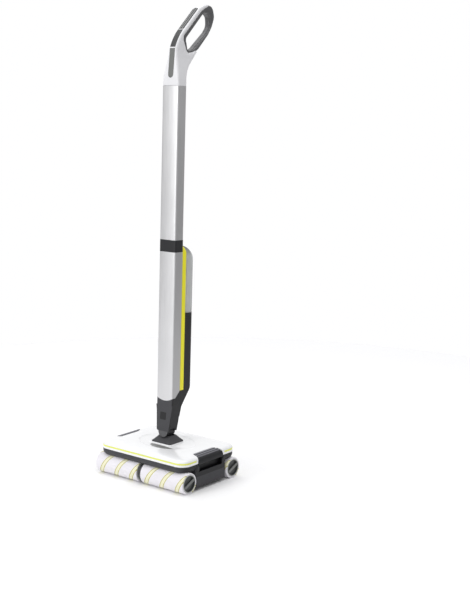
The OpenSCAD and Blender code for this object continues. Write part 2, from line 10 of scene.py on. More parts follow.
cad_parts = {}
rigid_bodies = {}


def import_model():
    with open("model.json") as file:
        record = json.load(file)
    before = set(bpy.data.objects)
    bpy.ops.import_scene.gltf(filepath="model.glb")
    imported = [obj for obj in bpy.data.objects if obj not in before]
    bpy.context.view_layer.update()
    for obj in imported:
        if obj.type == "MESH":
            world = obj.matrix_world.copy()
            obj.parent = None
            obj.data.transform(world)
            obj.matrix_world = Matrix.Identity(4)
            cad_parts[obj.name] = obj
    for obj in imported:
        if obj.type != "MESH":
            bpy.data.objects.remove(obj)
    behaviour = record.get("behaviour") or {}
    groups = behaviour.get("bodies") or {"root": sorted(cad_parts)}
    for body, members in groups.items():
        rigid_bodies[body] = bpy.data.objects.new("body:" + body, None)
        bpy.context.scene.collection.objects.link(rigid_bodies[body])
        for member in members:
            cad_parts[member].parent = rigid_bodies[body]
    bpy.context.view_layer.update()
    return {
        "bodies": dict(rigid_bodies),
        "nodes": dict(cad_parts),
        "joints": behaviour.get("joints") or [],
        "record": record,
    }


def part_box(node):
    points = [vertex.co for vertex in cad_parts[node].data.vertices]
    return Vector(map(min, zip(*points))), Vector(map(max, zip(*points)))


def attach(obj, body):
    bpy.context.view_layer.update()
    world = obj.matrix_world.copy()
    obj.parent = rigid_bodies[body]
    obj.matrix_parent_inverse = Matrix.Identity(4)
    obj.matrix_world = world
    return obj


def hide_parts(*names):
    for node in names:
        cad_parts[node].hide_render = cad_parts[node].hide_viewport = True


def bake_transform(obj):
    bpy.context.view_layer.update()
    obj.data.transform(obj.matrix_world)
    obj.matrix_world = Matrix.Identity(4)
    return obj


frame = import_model()
NODES = frame["nodes"]
JOINTS = {j["name"]: j for j in frame["joints"]}
BODY_OF = {n: b for b, ns in frame["record"]["behaviour"]["bodies"].items() for n in ns}
SLOT_OF = {s["node"]: s["material_slot"] for s in frame["record"]["subparts"]}
MM = 0.001

# The stick's own frame: x as the object's, y across its depth, z along it, equal to the height
# where it meets the tilt axis.
TILT = Vector(JOINTS["stick_tilt"]["pos_m"])
STICK_Y = Vector(JOINTS["stick_swivel"]["axis"]).normalized()
STICK_Z = Vector(JOINTS["water_tank_lift"]["axis"]).normalized()
STICK = (
    Matrix.Translation(TILT)
    @ Matrix((Vector((1, 0, 0)), STICK_Y, STICK_Z)).transposed().to_4x4()
    @ Matrix.Translation((0, 0, -TILT.z))
)
HEAD_Y = TILT.y


# ---------------------------------------------------------------- camera, light and floor

# the view: focal length in millimetres, the camera's turns in degrees, its place from the head's middle
FOCAL_LENGTH = 71.27
YAW, PITCH, ROLL = 38.43, 9.84, 0.558
CAMERA_PLACE = Vector((2.0151, -2.2594, 0.9938))


def camera():
    data = bpy.data.cameras.new("view")
    data.sensor_fit = "AUTO"
    data.sensor_width = 36.0
    data.lens = FOCAL_LENGTH
    data.clip_end = 50.0
    obj = bpy.data.objects.new("view", data)
    turn = Matrix.Rotation(math.radians(YAW), 4, "Z") @ Matrix.Rotation(math.radians(90 - PITCH), 4, "X")
    turn = turn @ Matrix.Rotation(math.radians(ROLL), 4, "Z")
    obj.matrix_world = Matrix.Translation(CAMERA_PLACE + Vector((0, HEAD_Y, 0))) @ turn
    bpy.context.scene.collection.objects.link(obj)
    bpy.context.scene.camera = obj


def area_light(name, where, target, size, power):
    """A rectangular lamp that faces its target."""
    data = bpy.data.lights.new(name, "AREA")
    data.shape = "RECTANGLE"
    data.size, data.size_y = size
    data.energy = power
    obj = bpy.data.objects.new(name, data)
    obj.location = where
    obj.rotation_euler = (Vector(target) - Vector(where)).to_track_quat("-Z", "Y").to_euler()
    bpy.context.scene.collection.objects.link(obj)


# brightness of the studio's walls at each bearing, in degrees from +X towards +Y
WALLS = [
    (-180, 0.50), (-150, 0.42), (-118, 0.70), (-92, 0.84), (-62, 0.72), (-20, 0.34),
    (60, 0.34), (96, 0.75), (112, 1.0), (150, 1.0), (180, 0.50),
]
CEILING = (0.95, 0.95, 0.96)
# a Mix node's colour sockets, whose names it shares with its other kinds of socket
MIX_A, MIX_B, MIX_RESULT = 6, 7, 2


def lights():
    """Soft studio light: large panels, and walls whose brightness changes slowly round the object."""
    bpy.context.scene.view_settings.view_transform = "Standard"
    area_light("key", (-0.9, -2.9, 1.5), (0, 0, 0.5), (0.9, 1.8), 24)
    area_light("top", (0, 0, 3.0), (0, 0, 0), (3.0, 3.0), 30)
    g = Graph(bpy.data.worlds.new("studio"))
    bpy.context.scene.world = g.owner
    x, y, z = g.axes("Generated")
    ramp = g.new("ShaderNodeValToRGB")
    g.link(g.span(g.math("ARCTAN2", y, x), 0, 1, -math.pi, math.pi), ramp.inputs["Fac"])
    stops = ramp.color_ramp.elements
    while len(stops) < len(WALLS):
        stops.new(0.5)
    for stop, (bearing, level) in zip(stops, WALLS):
        stop.position = (bearing + 180) / 360
        stop.color = (level, level, level * 1.005, 1)
    background = g.tree.nodes["Background"]
    g.link(g.mix(g.span(z, 0, 1, 0.35, 0.75), ramp.outputs["Color"], CEILING), background.inputs["Color"])
    background.inputs["Strength"].default_value = 1.0


FLOOR_RADIUS = 1.7


def floor():
    """Plain pale paper under the object."""
    bpy.ops.mesh.primitive_circle_add(
        vertices=128, radius=FLOOR_RADIUS, fill_type="NGON", location=(0, 0.1, 0)
    )
    obj = bpy.context.object
    obj.name = "floor"
    g = Graph("floor_paper")
    grain = g.noise(90, detail=3)
    paper = g.ramp(grain, (0.94, 0.94, 0.945), (0.96, 0.96, 0.965))
    g.set(colour=paper, rough=0.75, bump=(grain, 0.02, 0.001))
    obj.data.materials.append(g.owner)


# ---------------------------------------------------------------- materials

class Graph:
    """The node graph of a material or the world, with one call for each kind of node."""

    def __init__(self, owner):
        self.owner = bpy.data.materials.new(owner) if isinstance(owner, str) else owner
        self.owner.use_nodes = True
        self.tree = self.owner.node_tree
        self.shader = self.tree.nodes.get("Principled BSDF")
        self.place = None

    def new(self, kind, **values):
        node = self.tree.nodes.new(kind)
        for key, value in values.items():
            setattr(node, key, value)
        return node

    def link(self, value, socket):
        if hasattr(value, "is_linked") or isinstance(value, bpy.types.NodeSocket):
            self.tree.links.new(value, socket)
        elif socket.type == "RGBA":
            socket.default_value = (*value, 1) if len(value) == 3 else value
        else:
            socket.default_value = value

    def coords(self, stretch=(1, 1, 1)):
        if self.place is None:
            self.place = self.new("ShaderNodeTexCoord").outputs["Object"]
        if tuple(stretch) == (1, 1, 1):
            return self.place
        mapping = self.new("ShaderNodeMapping")
        mapping.inputs["Scale"].default_value = stretch
        self.link(self.place, mapping.inputs["Vector"])
        return mapping.outputs["Vector"]

    def axes(self, output="Object"):
        """The three components of a place in metres, or of the way a face looks."""
        source = self.coords() if output == "Object" else self.new("ShaderNodeTexCoord").outputs[output]
        split = self.new("ShaderNodeSeparateXYZ")
        self.link(source, split.inputs[0])
        return split.outputs[0], split.outputs[1], split.outputs[2]

    def noise(self, scale, detail=2.0, stretch=(1, 1, 1), rough=0.5):
        node = self.new("ShaderNodeTexNoise")
        self.link(self.coords(stretch), node.inputs["Vector"])
        node.inputs["Scale"].default_value = scale
        node.inputs["Detail"].default_value = detail
        node.inputs["Roughness"].default_value = rough
        return node.outputs["Fac"]

    def cells(self, scale, stretch=(1, 1, 1)):
        node = self.new("ShaderNodeTexVoronoi")
        self.link(self.coords(stretch), node.inputs["Vector"])
        node.inputs["Scale"].default_value = scale
        return node.outputs["Distance"]

    def ramp(self, value, low, high, start=0.3, end=0.7):
        node = self.new("ShaderNodeValToRGB")
        node.color_ramp.elements[0].position = start
        node.color_ramp.elements[1].position = end
        node.color_ramp.elements[0].color = (*low, 1)
        node.color_ramp.elements[1].color = (*high, 1)
        self.link(value, node.inputs["Fac"])
        return node.outputs["Color"]

    def span(self, value, low, high, start=0.0, end=1.0):
        node = self.new("ShaderNodeMapRange")
        for name, number in zip(("From Min", "From Max", "To Min", "To Max"), (start, end, low, high)):
            node.inputs[name].default_value = number
        self.link(value, node.inputs["Value"])
        return node.outputs["Result"]

    def math(self, operation, a, b=0.0):
        node = self.new("ShaderNodeMath", operation=operation)
        self.link(a, node.inputs[0])
        self.link(b, node.inputs[1])
        return node.outputs[0]

    def within(self, value, low, high):
        """1 where a value is between two others, and 0 elsewhere."""
        above, below = self.math("GREATER_THAN", value, low), self.math("LESS_THAN", value, high)
        return self.math("MULTIPLY", above, below)

    def mix(self, factor, a, b):
        node = self.new("ShaderNodeMix", data_type="RGBA")
        self.link(factor, node.inputs["Factor"])
        self.link(a, node.inputs[MIX_A])
        self.link(b, node.inputs[MIX_B])
        return node.outputs[MIX_RESULT]

    def set(self, colour=None, rough=None, metal=None, bump=None, **sockets):
        if colour is not None:
            self.link(colour, self.shader.inputs["Base Color"])
        if rough is not None:
            self.link(rough, self.shader.inputs["Roughness"])
        if metal is not None:
            self.link(metal, self.shader.inputs["Metallic"])
        for key, value in sockets.items():
            self.link(value, self.shader.inputs[key.replace("_", " ")])
        if bump is not None:
            self.link(self.bumped(*bump), self.shader.inputs["Normal"])

    def bumped(self, height, strength, distance, normal=None):
        node = self.new("ShaderNodeBump")
        node.inputs["Strength"].default_value = strength
        node.inputs["Distance"].default_value = distance
        self.link(height, node.inputs["Height"])
        if normal is not None:
            self.link(normal, node.inputs["Normal"])
        return node.outputs["Normal"]


def shade(colour, factor):
    """The colour made darker or lighter."""
    return tuple(min(1.0, c * factor) for c in colour)


def moulded(name, colour, rough=0.4, grain=900, depth=0.12, coat=0.0, spread=0.05):
    """Moulded plastic: a fine spark-eroded grain, with slow changes in gloss and tone."""
    g = Graph(name)
    slow = g.noise(14, detail=3)
    fine = g.noise(grain, detail=2)
    gloss = g.math("ADD", g.math("MULTIPLY", fine, 0.5), slow)
    g.set(
        colour=g.ramp(slow, shade(colour, 1 - spread), shade(colour, 1 + spread)),
        rough=g.span(gloss, rough * 0.85, rough * 1.2, 0.4, 1.1),
        bump=(fine, depth, 0.0004),
        Coat_Weight=coat,
        Coat_Roughness=0.06,
    )
    return g.owner


def brushed(name, colour, rough):
    """Anodised satin metal with long, fine brush lines. Painted shade darkens it lower down, most of all on
    its sides, and its flat faces are drawn very slightly convex."""
    crown = -1.6
    g = Graph(name)
    x, _, z = g.axes()
    bulge = g.math("MULTIPLY", g.math("MULTIPLY", x, x), crown)
    lines = g.noise(900, detail=4, stretch=(1, 1, 0.012), rough=0.7)
    slow = g.noise(9, detail=2)
    tone = g.ramp(lines, shade(colour, 0.93), shade(colour, 1.05), 0.25, 0.75)
    # painted shade: darker lower down on faces turned to the front, lower and deeper on faces turned
    # sideways
    front = g.mix(g.span(z, 1, 0, 0.15, 0.45), tone, shade(colour, 0.84))
    flank_painted_shade = g.mix(g.span(z, 1, 0, 0.20, 0.95), tone, shade(colour, 0.54))
    side_shade_mask = g.math("ABSOLUTE", g.axes("Normal")[0])
    gloss = g.math("ADD", lines, g.math("MULTIPLY", slow, 0.4))
    g.set(
        colour=g.mix(g.span(side_shade_mask, 0, 1, 0.6, 0.95), front, flank_painted_shade),
        metal=1.0,
        rough=g.span(gloss, rough * 0.8, rough * 1.25, 0.35, 1.0),
        bump=(lines, 0.10, 0.0002, g.bumped(bulge, 1.0, 1.0)),
    )
    return g.owner


# middles of the grooves along the release grips, as (x, z) in millimetres
RIB_GROOVES = [(134.6, 90.8), (139.9, 88.0), (144.4, 83.9)]


def satin_tones_side_shaded(g, colour):
    """Slow changes of tone, and painted shade on the sides: faces turned sideways are drawn darker."""
    tone = g.ramp(g.noise(14, detail=3), shade(colour, 0.94), shade(colour, 1.06))
    side_shade_mask = g.math("ABSOLUTE", g.axes("Normal")[0])
    # painted shade: faces turned sideways are drawn much darker
    return g.mix(g.span(side_shade_mask, 0, 0.85, 0.35, 0.95), tone, shade(colour, 0.22))


def chassis_tones(g, colour):
    """Satin, but of one paler tone below the skirt's crease, painted light from the floor in place of the
    side shade, and painted black shade inside the finger recesses.
    """
    crease_z, skirt_x = 0.036, 0.1465
    recess_x, recess_z, recess_half_y = (0.1362, 0.1468), (0.0474, 0.0668), 0.0466
    x, y, z = g.axes()
    across = g.math("ABSOLUTE", x)
    # painted light: the skirt below the crease keeps a plain paler tone, as if lit from the floor
    skirt = g.math("MULTIPLY", g.math("LESS_THAN", z, crease_z), g.math("GREATER_THAN", across, skirt_x))
    tone = g.mix(skirt, satin_tones_side_shaded(g, colour), shade(colour, 0.95))
    # painted shade: black inside the finger recesses
    middle = g.math("LESS_THAN", g.math("ABSOLUTE", y), recess_half_y)
    recess_painted_shade = g.math("MULTIPLY", g.within(across, *recess_x), g.within(z, *recess_z))
    return g.mix(g.math("MULTIPLY", recess_painted_shade, middle), tone, (0.004, 0.004, 0.005))


def grip_tones_lit_top(g, colour):
    """Painted highlight on top, paler where the light falls, and painted shade darkening the grooves."""
    x, _, z = g.axes()
    across = g.math("ABSOLUTE", x)
    # painted highlight: paler towards the top
    tone = g.mix(g.span(z, 0, 1, 0.0815, 0.0875), shade(colour, 0.4), shade(colour, 4.4))
    # painted shade: darker along each groove
    for groove_x, _ in RIB_GROOVES:
        near = g.math("ABSOLUTE", g.math("SUBTRACT", across, groove_x * MM))
        tone = g.mix(g.span(near, 1, 0, 0.0006, 0.0013), tone, shade(colour, 0.15))
    return tone


def dark_moulded(name, colour, tones=satin_tones_side_shaded):
    """Dark satin plastic, coloured by one of the functions above."""
    g = Graph(name)
    slow, fine = g.noise(14, detail=3), g.noise(1300, detail=2)
    g.set(
        colour=tones(g, colour),
        rough=g.span(g.math("ADD", g.math("MULTIPLY", fine, 0.5), slow), 0.34, 0.50, 0.4, 1.1),
        bump=(fine, 0.16, 0.0004),
        Specular_IOR_Level=0.24,
    )
    return g.owner


def turned_metal(name, colour, rough=0.25):
    """Metal turned or drawn, with fine rings across its length."""
    g = Graph(name)
    lines = g.noise(1200, detail=3, stretch=(1, 0.05, 0.05))
    g.set(
        colour=g.ramp(g.noise(40, detail=3), shade(colour, 0.9), shade(colour, 1.05)),
        metal=1.0,
        rough=g.span(lines, rough * 0.75, rough * 1.4, 0.3, 0.7),
        bump=(lines, 0.08, 0.0002),
    )
    return g.owner


def soft_rubber(name, colour, rough=0.62):
    """Matt rubber or hose with a faint sheen."""
    g = Graph(name)
    fine = g.noise(1400, detail=2)
    g.set(
        colour=g.ramp(g.noise(22, detail=3), shade(colour, 0.9), shade(colour, 1.12)),
        rough=g.span(fine, rough * 0.9, rough * 1.1),
        bump=(fine, 0.15, 0.0003),
        Sheen_Weight=0.15,
        Sheen_Roughness=0.5,
    )
    return g.owner


def smoky_tank(name):
    """Translucent grey moulding: it lets light through and clouds slightly, and painted shade makes its rim
    darker towards the top and the rear.
    """
    g = Graph(name)
    haze = g.noise(30, detail=3)
    _, y, z = g.axes()
    # painted shade: darker towards the top and the rear
    rim_painted_shade = g.math("MAXIMUM", g.span(y, 0, 1, 0.054, 0.066), g.span(z, 0, 1, 0.578, 0.606))
    clear = g.ramp(haze, (0.87, 0.89, 0.885), (0.94, 0.95, 0.95))
    g.set(
        colour=g.mix(rim_painted_shade, clear, (0.26, 0.27, 0.27)),
        rough=g.span(haze, 0.10, 0.2),
        bump=(g.noise(500), 0.03, 0.0003),
        Transmission_Weight=0.62,
        IOR=1.42,
    )
    return g.owner


def circuit_green(name):
    """A circuit board's lacquer over its tracks."""
    g = Graph(name)
    tracks = g.cells(420, stretch=(1, 1, 0.4))
    g.set(
        colour=g.ramp(tracks, (0.03, 0.20, 0.09), (0.10, 0.34, 0.16), 0.1, 0.5),
        rough=0.35,
        bump=(tracks, 0.1, 0.0002),
    )
    return g.owner


def make_materials():
    """The finish of each material slot."""
    white, satin = (0.86, 0.865, 0.875), (0.80, 0.80, 0.82)
    return {
        "white_gloss": moulded("white_gloss", white, 0.24, grain=300, depth=0.02, coat=0.5, spread=0.01),
        "accent_lime": moulded("accent_lime", (0.77, 0.81, 0.15), 0.35, depth=0.03, spread=0.03),
        "anthracite": dark_moulded("anthracite", (0.056, 0.056, 0.061)),
        "band_black": moulded("band_black", (0.012, 0.012, 0.014), 0.3, depth=0.05),
        "brushed_aluminium": brushed("brushed_aluminium", (0.80, 0.80, 0.81), 0.36),
        "frame_yellow": moulded("frame_yellow", (0.90, 0.83, 0.015), 0.38, depth=0.04, spread=0.03),
        "tank_smoke": smoky_tank("tank_smoke"),
        "core_grey": moulded("core_grey", (0.48, 0.49, 0.48), 0.45),
        "cap_dark": moulded("cap_dark", (0.04, 0.044, 0.042), 0.38, depth=0.1),
        "soft_rubber": soft_rubber("soft_rubber", (0.03, 0.03, 0.034)),
        "steel": turned_metal("steel", (0.62, 0.62, 0.64)),
        "bronze": turned_metal("bronze", (0.60, 0.38, 0.17), 0.4),
        "motor_steel": turned_metal("motor_steel", (0.56, 0.57, 0.59), 0.35),
        "gear_white": moulded("gear_white", (0.80, 0.78, 0.72), 0.4, depth=0.05),
        "pinion_brass": turned_metal("pinion_brass", (0.78, 0.58, 0.25)),
        "vessel_grey": moulded("vessel_grey", (0.20, 0.205, 0.21), 0.4),
        "contact_gold": turned_metal("contact_gold", (0.85, 0.62, 0.25), 0.2),
        "battery_dark": moulded("battery_dark", (0.04, 0.05, 0.06), 0.45),
        "pump_grey": moulded("pump_grey", (0.28, 0.28, 0.29), 0.45),
        "hose_clear": soft_rubber("hose_clear", (0.62, 0.64, 0.65), 0.3),
        "board_green": circuit_green("board_green"),
        "handle_white": moulded("handle_white", satin, 0.36, grain=1100, depth=0.06, spread=0.015),
        "key_grey": soft_rubber("key_grey", (0.040, 0.041, 0.042), 0.5),
        "panel_grey": moulded("panel_grey", (0.155, 0.16, 0.155), 0.45, depth=0.08),
        "cable_black": soft_rubber("cable_black", (0.02, 0.02, 0.02)),
        "fleece": moulded("fleece_plain", (0.84, 0.82, 0.86), 0.9),
    }


# ---------------------------------------------------------------- meshes

def put(obj):
    bpy.context.scene.collection.objects.link(obj)
    return obj


def mesh_object(name, verts, faces):
    """A new object from points in millimetres."""
    data = bpy.data.meshes.new(name)
    data.from_pydata([tuple(c * MM for c in v) for v in verts], [], faces)
    data.update()
    return put(bpy.data.objects.new(name, data))


def loft(name, rings, around=False):
    """Quads between equal closed rings, with a face on the first and last, or joined round."""
    n = len(rings[0])
    count = len(rings)
    verts = [p for ring in rings for p in ring]
    faces = []
    for k in range(count if around else count - 1):
        low, high = k * n, (k + 1) % count * n
        for i in range(n):
            j = (i + 1) % n
            faces.append((low + i, low + j, high + j, high + i))
    if not around:
        faces.append(tuple(reversed(range(n))))
        faces.append(tuple(range((count - 1) * n, count * n)))
    return mesh_object(name, verts, faces)


def plan_ring(w, d, r, z, corner=10, side=10):
    """A rounded rectangle at height z, with its straight sides divided."""
    corners = []
    for k, (sx, sy) in enumerate(((1, 1), (-1, 1), (-1, -1), (1, -1))):
        centre = Vector((sx * (w / 2 - r), sy * (d / 2 - r), z))
        turns = [math.pi / 2 * (k + i / corner) for i in range(corner + 1)]
        corners.append([centre + Vector((r * math.cos(a), r * math.sin(a), 0)) for a in turns])
    ring = []
    for k in range(4):
        ring += corners[k]
        a, b = corners[k][-1], corners[(k + 1) % 4][0]
        ring += [a.lerp(b, i / side) for i in range(1, side)]
    return ring


def ellipse_like(ring, a, b, z):
    """The ring's points moved in or out onto an ellipse."""
    out = []
    for p in ring:
        t = math.atan2(p.y / b, p.x / a)
        out.append(Vector((a * math.cos(t), b * math.sin(t), z)))
    return out


def circle(radius, centre, first, last, count):
    """Points round a centre, from one bearing to another in degrees, with the last left out."""
    turns = np.linspace(math.radians(first), math.radians(last), count + 1)[:-1]
    return [(centre[0] + radius * math.cos(a), centre[1] + radius * math.sin(a)) for a in turns]


def fillet(points, radius):
    """A closed outline whose corners are rounded. A point may carry its own radius, third."""
    most_of_side, turn_step = 0.48, 0.12
    least_turn, least_reach = 0.02, 0.05
    out = []
    n = len(points)
    for i, p in enumerate(points):
        r = p[2] if len(p) > 2 else radius
        here = Vector(p[:2])
        before = Vector(points[i - 1][:2]) - here
        after = Vector(points[(i + 1) % n][:2]) - here
        angle = before.angle(after)
        reach = min(r / math.tan(angle / 2), most_of_side * before.length, most_of_side * after.length)
        if math.pi - angle < least_turn or reach < least_reach:
            out.append(here)
            continue
        a, b = here + before.normalized() * reach, here + after.normalized() * reach
        steps = max(2, int((math.pi - angle) / turn_step))
        for k in range(steps + 1):
            t = k / steps
            out.append((1 - t) ** 2 * a + 2 * t * (1 - t) * here + t * t * b)
    return out


def lengths_along(line):
    """How far along a line each of its points is."""
    lengths = [0.0]
    for a, b in zip(line, line[1:]):
        lengths.append(lengths[-1] + (b - a).length)
    return lengths


def resample(points, step, closed=True):
    """Points at about equal steps along a line."""
    line = [Vector(p[:2]) for p in points]
    if closed:
        line.append(line[0])
    lengths = lengths_along(line)
    total = lengths[-1]
    count = max(3, round(total / step))
    out = []
    k = 0
    for i in range(count if closed else count + 1):
        s = total * i / count
        while k < len(lengths) - 2 and lengths[k + 1] < s:
            k += 1
        t = (s - lengths[k]) / max(1e-9, lengths[k + 1] - lengths[k])
        out.append(line[k].lerp(line[k + 1], min(1, max(0, t))))
    return out


def distances(points, starts, ends):
    """The distance from each point to the nearest of the segments."""
    p = np.array(points)[:, None, :]
    a, b = np.array(starts)[None], np.array(ends)[None]
    along = b - a
    t = np.clip(((p - a) * along).sum(2) / np.maximum((along ** 2).sum(2), 1e-12), 0, 1)
    return np.sqrt((((a + t[..., None] * along) - p) ** 2).sum(2)).min(1)


def inside(points, loops):
    """Whether each point is inside an odd number of the loops."""
    p = np.array(points)
    crossed = np.zeros(len(p), int)
    for loop in loops:
        a = np.array(loop)
        b = np.roll(a, -1, axis=0)
        for (ax, ay), (bx, by) in zip(a, b):
            if ay == by:
                continue
            spans = (ay > p[:, 1]) != (by > p[:, 1])
            crossed += spans & (p[:, 0] < ax + (p[:, 1] - ay) * (bx - ax) / (by - ay))
    return crossed % 2 == 1


def inflated(name, loops, half, edge, flat_below=None):
    """A side-view outline, with holes, made a slab across x with rounded edges.

    half(z) is half the slab's width. edge(p) is how deep and how wide the rounding is at a point. Outline
    below flat_below isn't rounded."""
    step, spacing, sliver = 1.6, 4.0, 0.02
    loops = [resample(loop, step) for loop in loops]
    starts = [p for loop in loops for p in loop]
    ends = [p for loop in loops for p in loop[1:] + loop[:1]]
    rounded = [(a, b) for a, b in zip(starts, ends) if flat_below is None or min(a.y, b.y) > flat_below]
    rows = []
    for loop in loops:
        outer = loop is loops[0]
        area = sum(a.cross(b) for a, b in zip(loop, loop[1:] + loop[:1]))
        turn = 1 if (area > 0) == outer else -1
        for i, p in enumerate(loop):
            along = loop[(i + 1) % len(loop)] - loop[i - 1]
            normal = Vector((-along.y, along.x)).normalized() * turn
            for angle in (18, 36, 54, 72, 90):
                depth = edge(p)[0] * (1 - math.cos(math.radians(angle)))
                rows.append((p + normal * depth, depth))
    gaps = distances([r[0] for r in rows], starts, ends)
    points = [r[0] for r, gap in zip(rows, gaps) if gap > 0.93 * r[1] and gap > 0.25]
    low = Vector((min(p.x for p in starts), min(p.y for p in starts)))
    high = Vector((max(p.x for p in starts), max(p.y for p in starts)))
    grid = [
        Vector((low.x + spacing * i, low.y + spacing * k))
        for i in range(int((high.x - low.x) / spacing) + 1)
        for k in range(int((high.y - low.y) / spacing) + 1)
    ]
    gaps = distances(grid, starts, ends)
    deep = max(edge(p)[0] for p in starts) * 1.1
    points += [p for p, gap in zip(grid, gaps) if gap > deep]
    kept = inside(points, loops)
    points = [p for p, good in zip(points, kept) if good]
    edges = []
    first = 0
    for loop in loops:
        n = len(loop)
        edges += [(first + i, first + (i + 1) % n) for i in range(n)]
        first += n
    flat = delaunay_2d_cdt(starts + points, edges, [], 0, 1e-5)
    verts, tris = flat[0], flat[2]
    middles = [sum((verts[i] for i in t), Vector((0, 0))) / 3 for t in tris]
    good = inside(middles, loops)
    tris = [
        t for t, ok in zip(tris, good)
        if ok and abs((verts[t[1]] - verts[t[0]]).cross(verts[t[2]] - verts[t[0]])) > sliver
    ]
    gaps = distances(verts, *zip(*rounded))
    heights = []
    for v, gap in zip(verts, gaps):
        a, b = edge(v)
        rise = math.sqrt(max(0.0, 1 - (1 - min(gap, a) / a) ** 2))
        heights.append(half(v.y) - b + b * rise)
    n = len(verts)
    solid = [(h, v.x, v.y) for v, h in zip(verts, heights)]
    solid += [(-h, v.x, v.y) for v, h in zip(verts, heights)]
    faces = [tuple(t) for t in tris] + [tuple(n + i for i in reversed(t)) for t in tris]
    seen = {}
    for t in tris:
        for i in range(3):
            a, b = t[i], t[(i + 1) % 3]
            seen.setdefault((min(a, b), max(a, b)), []).append((a, b))
    for pair in seen.values():
        if len(pair) == 1:
            a, b = pair[0]
            faces.append((b, a, n + a, n + b))
    return mesh_object(name, solid, faces)


def apply_modifiers(obj):
    """Turns the object's modifiers into its mesh."""
    graph = bpy.context.evaluated_depsgraph_get()
    data = bpy.data.meshes.new_from_object(obj.evaluated_get(graph))
    obj.modifiers.clear()
    obj.data = data
    return obj


def clean(obj, dissolve=1.5):
    """Joins doubled points, dissolves nearly flat edges up to an angle, and turns the faces outwards."""
    work = bmesh.new()
    work.from_mesh(obj.data)
    bmesh.ops.remove_doubles(work, verts=work.verts, dist=2e-6)
    if dissolve:
        flat = math.radians(dissolve)
        bmesh.ops.dissolve_limit(work, angle_limit=flat, verts=work.verts, edges=work.edges)
    bmesh.ops.recalc_face_normals(work, faces=work.faces)
    work.to_mesh(obj.data)
    work.free()
    return obj


def rounded_edges(obj, width, segments=2, angle=30):
    """Rounds the edges where faces turn by more than angle."""
    bevel = obj.modifiers.new("edges", "BEVEL")
    bevel.limit_method = "ANGLE"
    bevel.angle_limit = math.radians(angle)
    bevel.width = width * MM
    bevel.segments = segments
    bevel.use_clamp_overlap = True
    return apply_modifiers(obj)


def smooth(obj, angle=40, weighted=True):
    """Smooth shading, with sharp edges kept where faces turn by more than angle."""
    for p in obj.data.polygons:
        p.use_smooth = True
    obj.data.set_sharp_from_angle(angle=math.radians(angle))
    if weighted:
        even = obj.modifiers.new("even", "WEIGHTED_NORMAL")
        even.keep_sharp = True
        apply_modifiers(obj)
    return obj


def cut(obj, *tools, keep="DIFFERENCE"):
    """Cuts obj with closed tools, which are used up."""
    for tool in tools:
        step = obj.modifiers.new("cut", "BOOLEAN")
        step.operation = keep
        step.solver = "EXACT"
        step.object = tool
        apply_modifiers(obj)
        bpy.data.objects.remove(tool)
    return obj


def prism(name, outline, low, high, axis="z"):
    """A closed solid from an outline, between low and high along an axis."""
    n = len(outline)

    def at(p, h):
        return {"z": (p[0], p[1], h), "y": (p[0], h, p[1]), "x": (h, p[0], p[1])}[axis]

    verts = [at(p, low) for p in outline] + [at(p, high) for p in outline]
    faces = [tuple(reversed(range(n))), tuple(range(n, 2 * n))]
    faces += [(i, (i + 1) % n, n + (i + 1) % n, n + i) for i in range(n)]
    return clean(mesh_object(name, verts, faces), 0)


def copy_of(node, name=None):
    """A copy of a CAD node in its own frame, the head's or the stick's."""
    obj = put(bpy.data.objects.new(name or node + "_skin", NODES[node].data.copy()))
    obj.data.materials.clear()
    own = FRAME_OF[BODY_OF[node]]
    obj.data.transform(own.inverted())
    return clean(obj)


def install(obj, node, material=None):
    """Puts a piece in its node's stead, with its finish, on its body."""
    obj.data.materials.clear()
    obj.data.materials.append(material or MATERIALS[SLOT_OF[node]])
    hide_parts(node)
    obj.matrix_world = FRAME_OF[BODY_OF[node]]
    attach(obj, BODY_OF[node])
    return obj


def extra(obj, node, slot, material=None):
    """A detail that goes with a node, and replaces nothing."""
    obj.data.materials.clear()
    obj.data.materials.append(material or MATERIALS[slot])
    obj.matrix_world = FRAME_OF[BODY_OF[node]]
    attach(obj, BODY_OF[node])
    return obj


def edged(node, width, segments=2, angle=30):
    """The CAD node again, with its edges rounded."""
    return install(smooth(rounded_edges(copy_of(node), width, segments, angle), 40), node)


# ---------------------------------------------------------------- floor head

# the height of the joint's swivel axis, in millimetres
SWIVEL_Z = 121

def sizes(node):
    """A node's lowest and highest corner in millimetres, in the head's frame."""
    low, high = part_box(node)
    shift = Vector((0, HEAD_Y, 0))
    return (low - shift) / MM, (high - shift) / MM


# the opening round a grip in plan, as (x, y) in millimetres: its front and outer sides, and then its
# swept rear corner from outside to inside
WINDOW_SIDES = [(124, -43), (150, -50), (165, -50), (165, 50)]
SWEPT_CORNER = [(150, 50), (145, 48.2), (138, 42.0), (132, 34.4), (127.4, 25.8), (124.6, 16), (124, 8)]


def grip_windows(grow=0.0):
    """The openings for the grips, as solids to cut with. grow makes them longer at both ends."""
    made = []
    for s in (-1, 1):
        plan = [(s * x, y + math.copysign(grow, y)) for x, y in WINDOW_SIDES + SWEPT_CORNER]
        made.append(prism("window", plan, 60, 120))
    return made


COVER_CORNER = 28


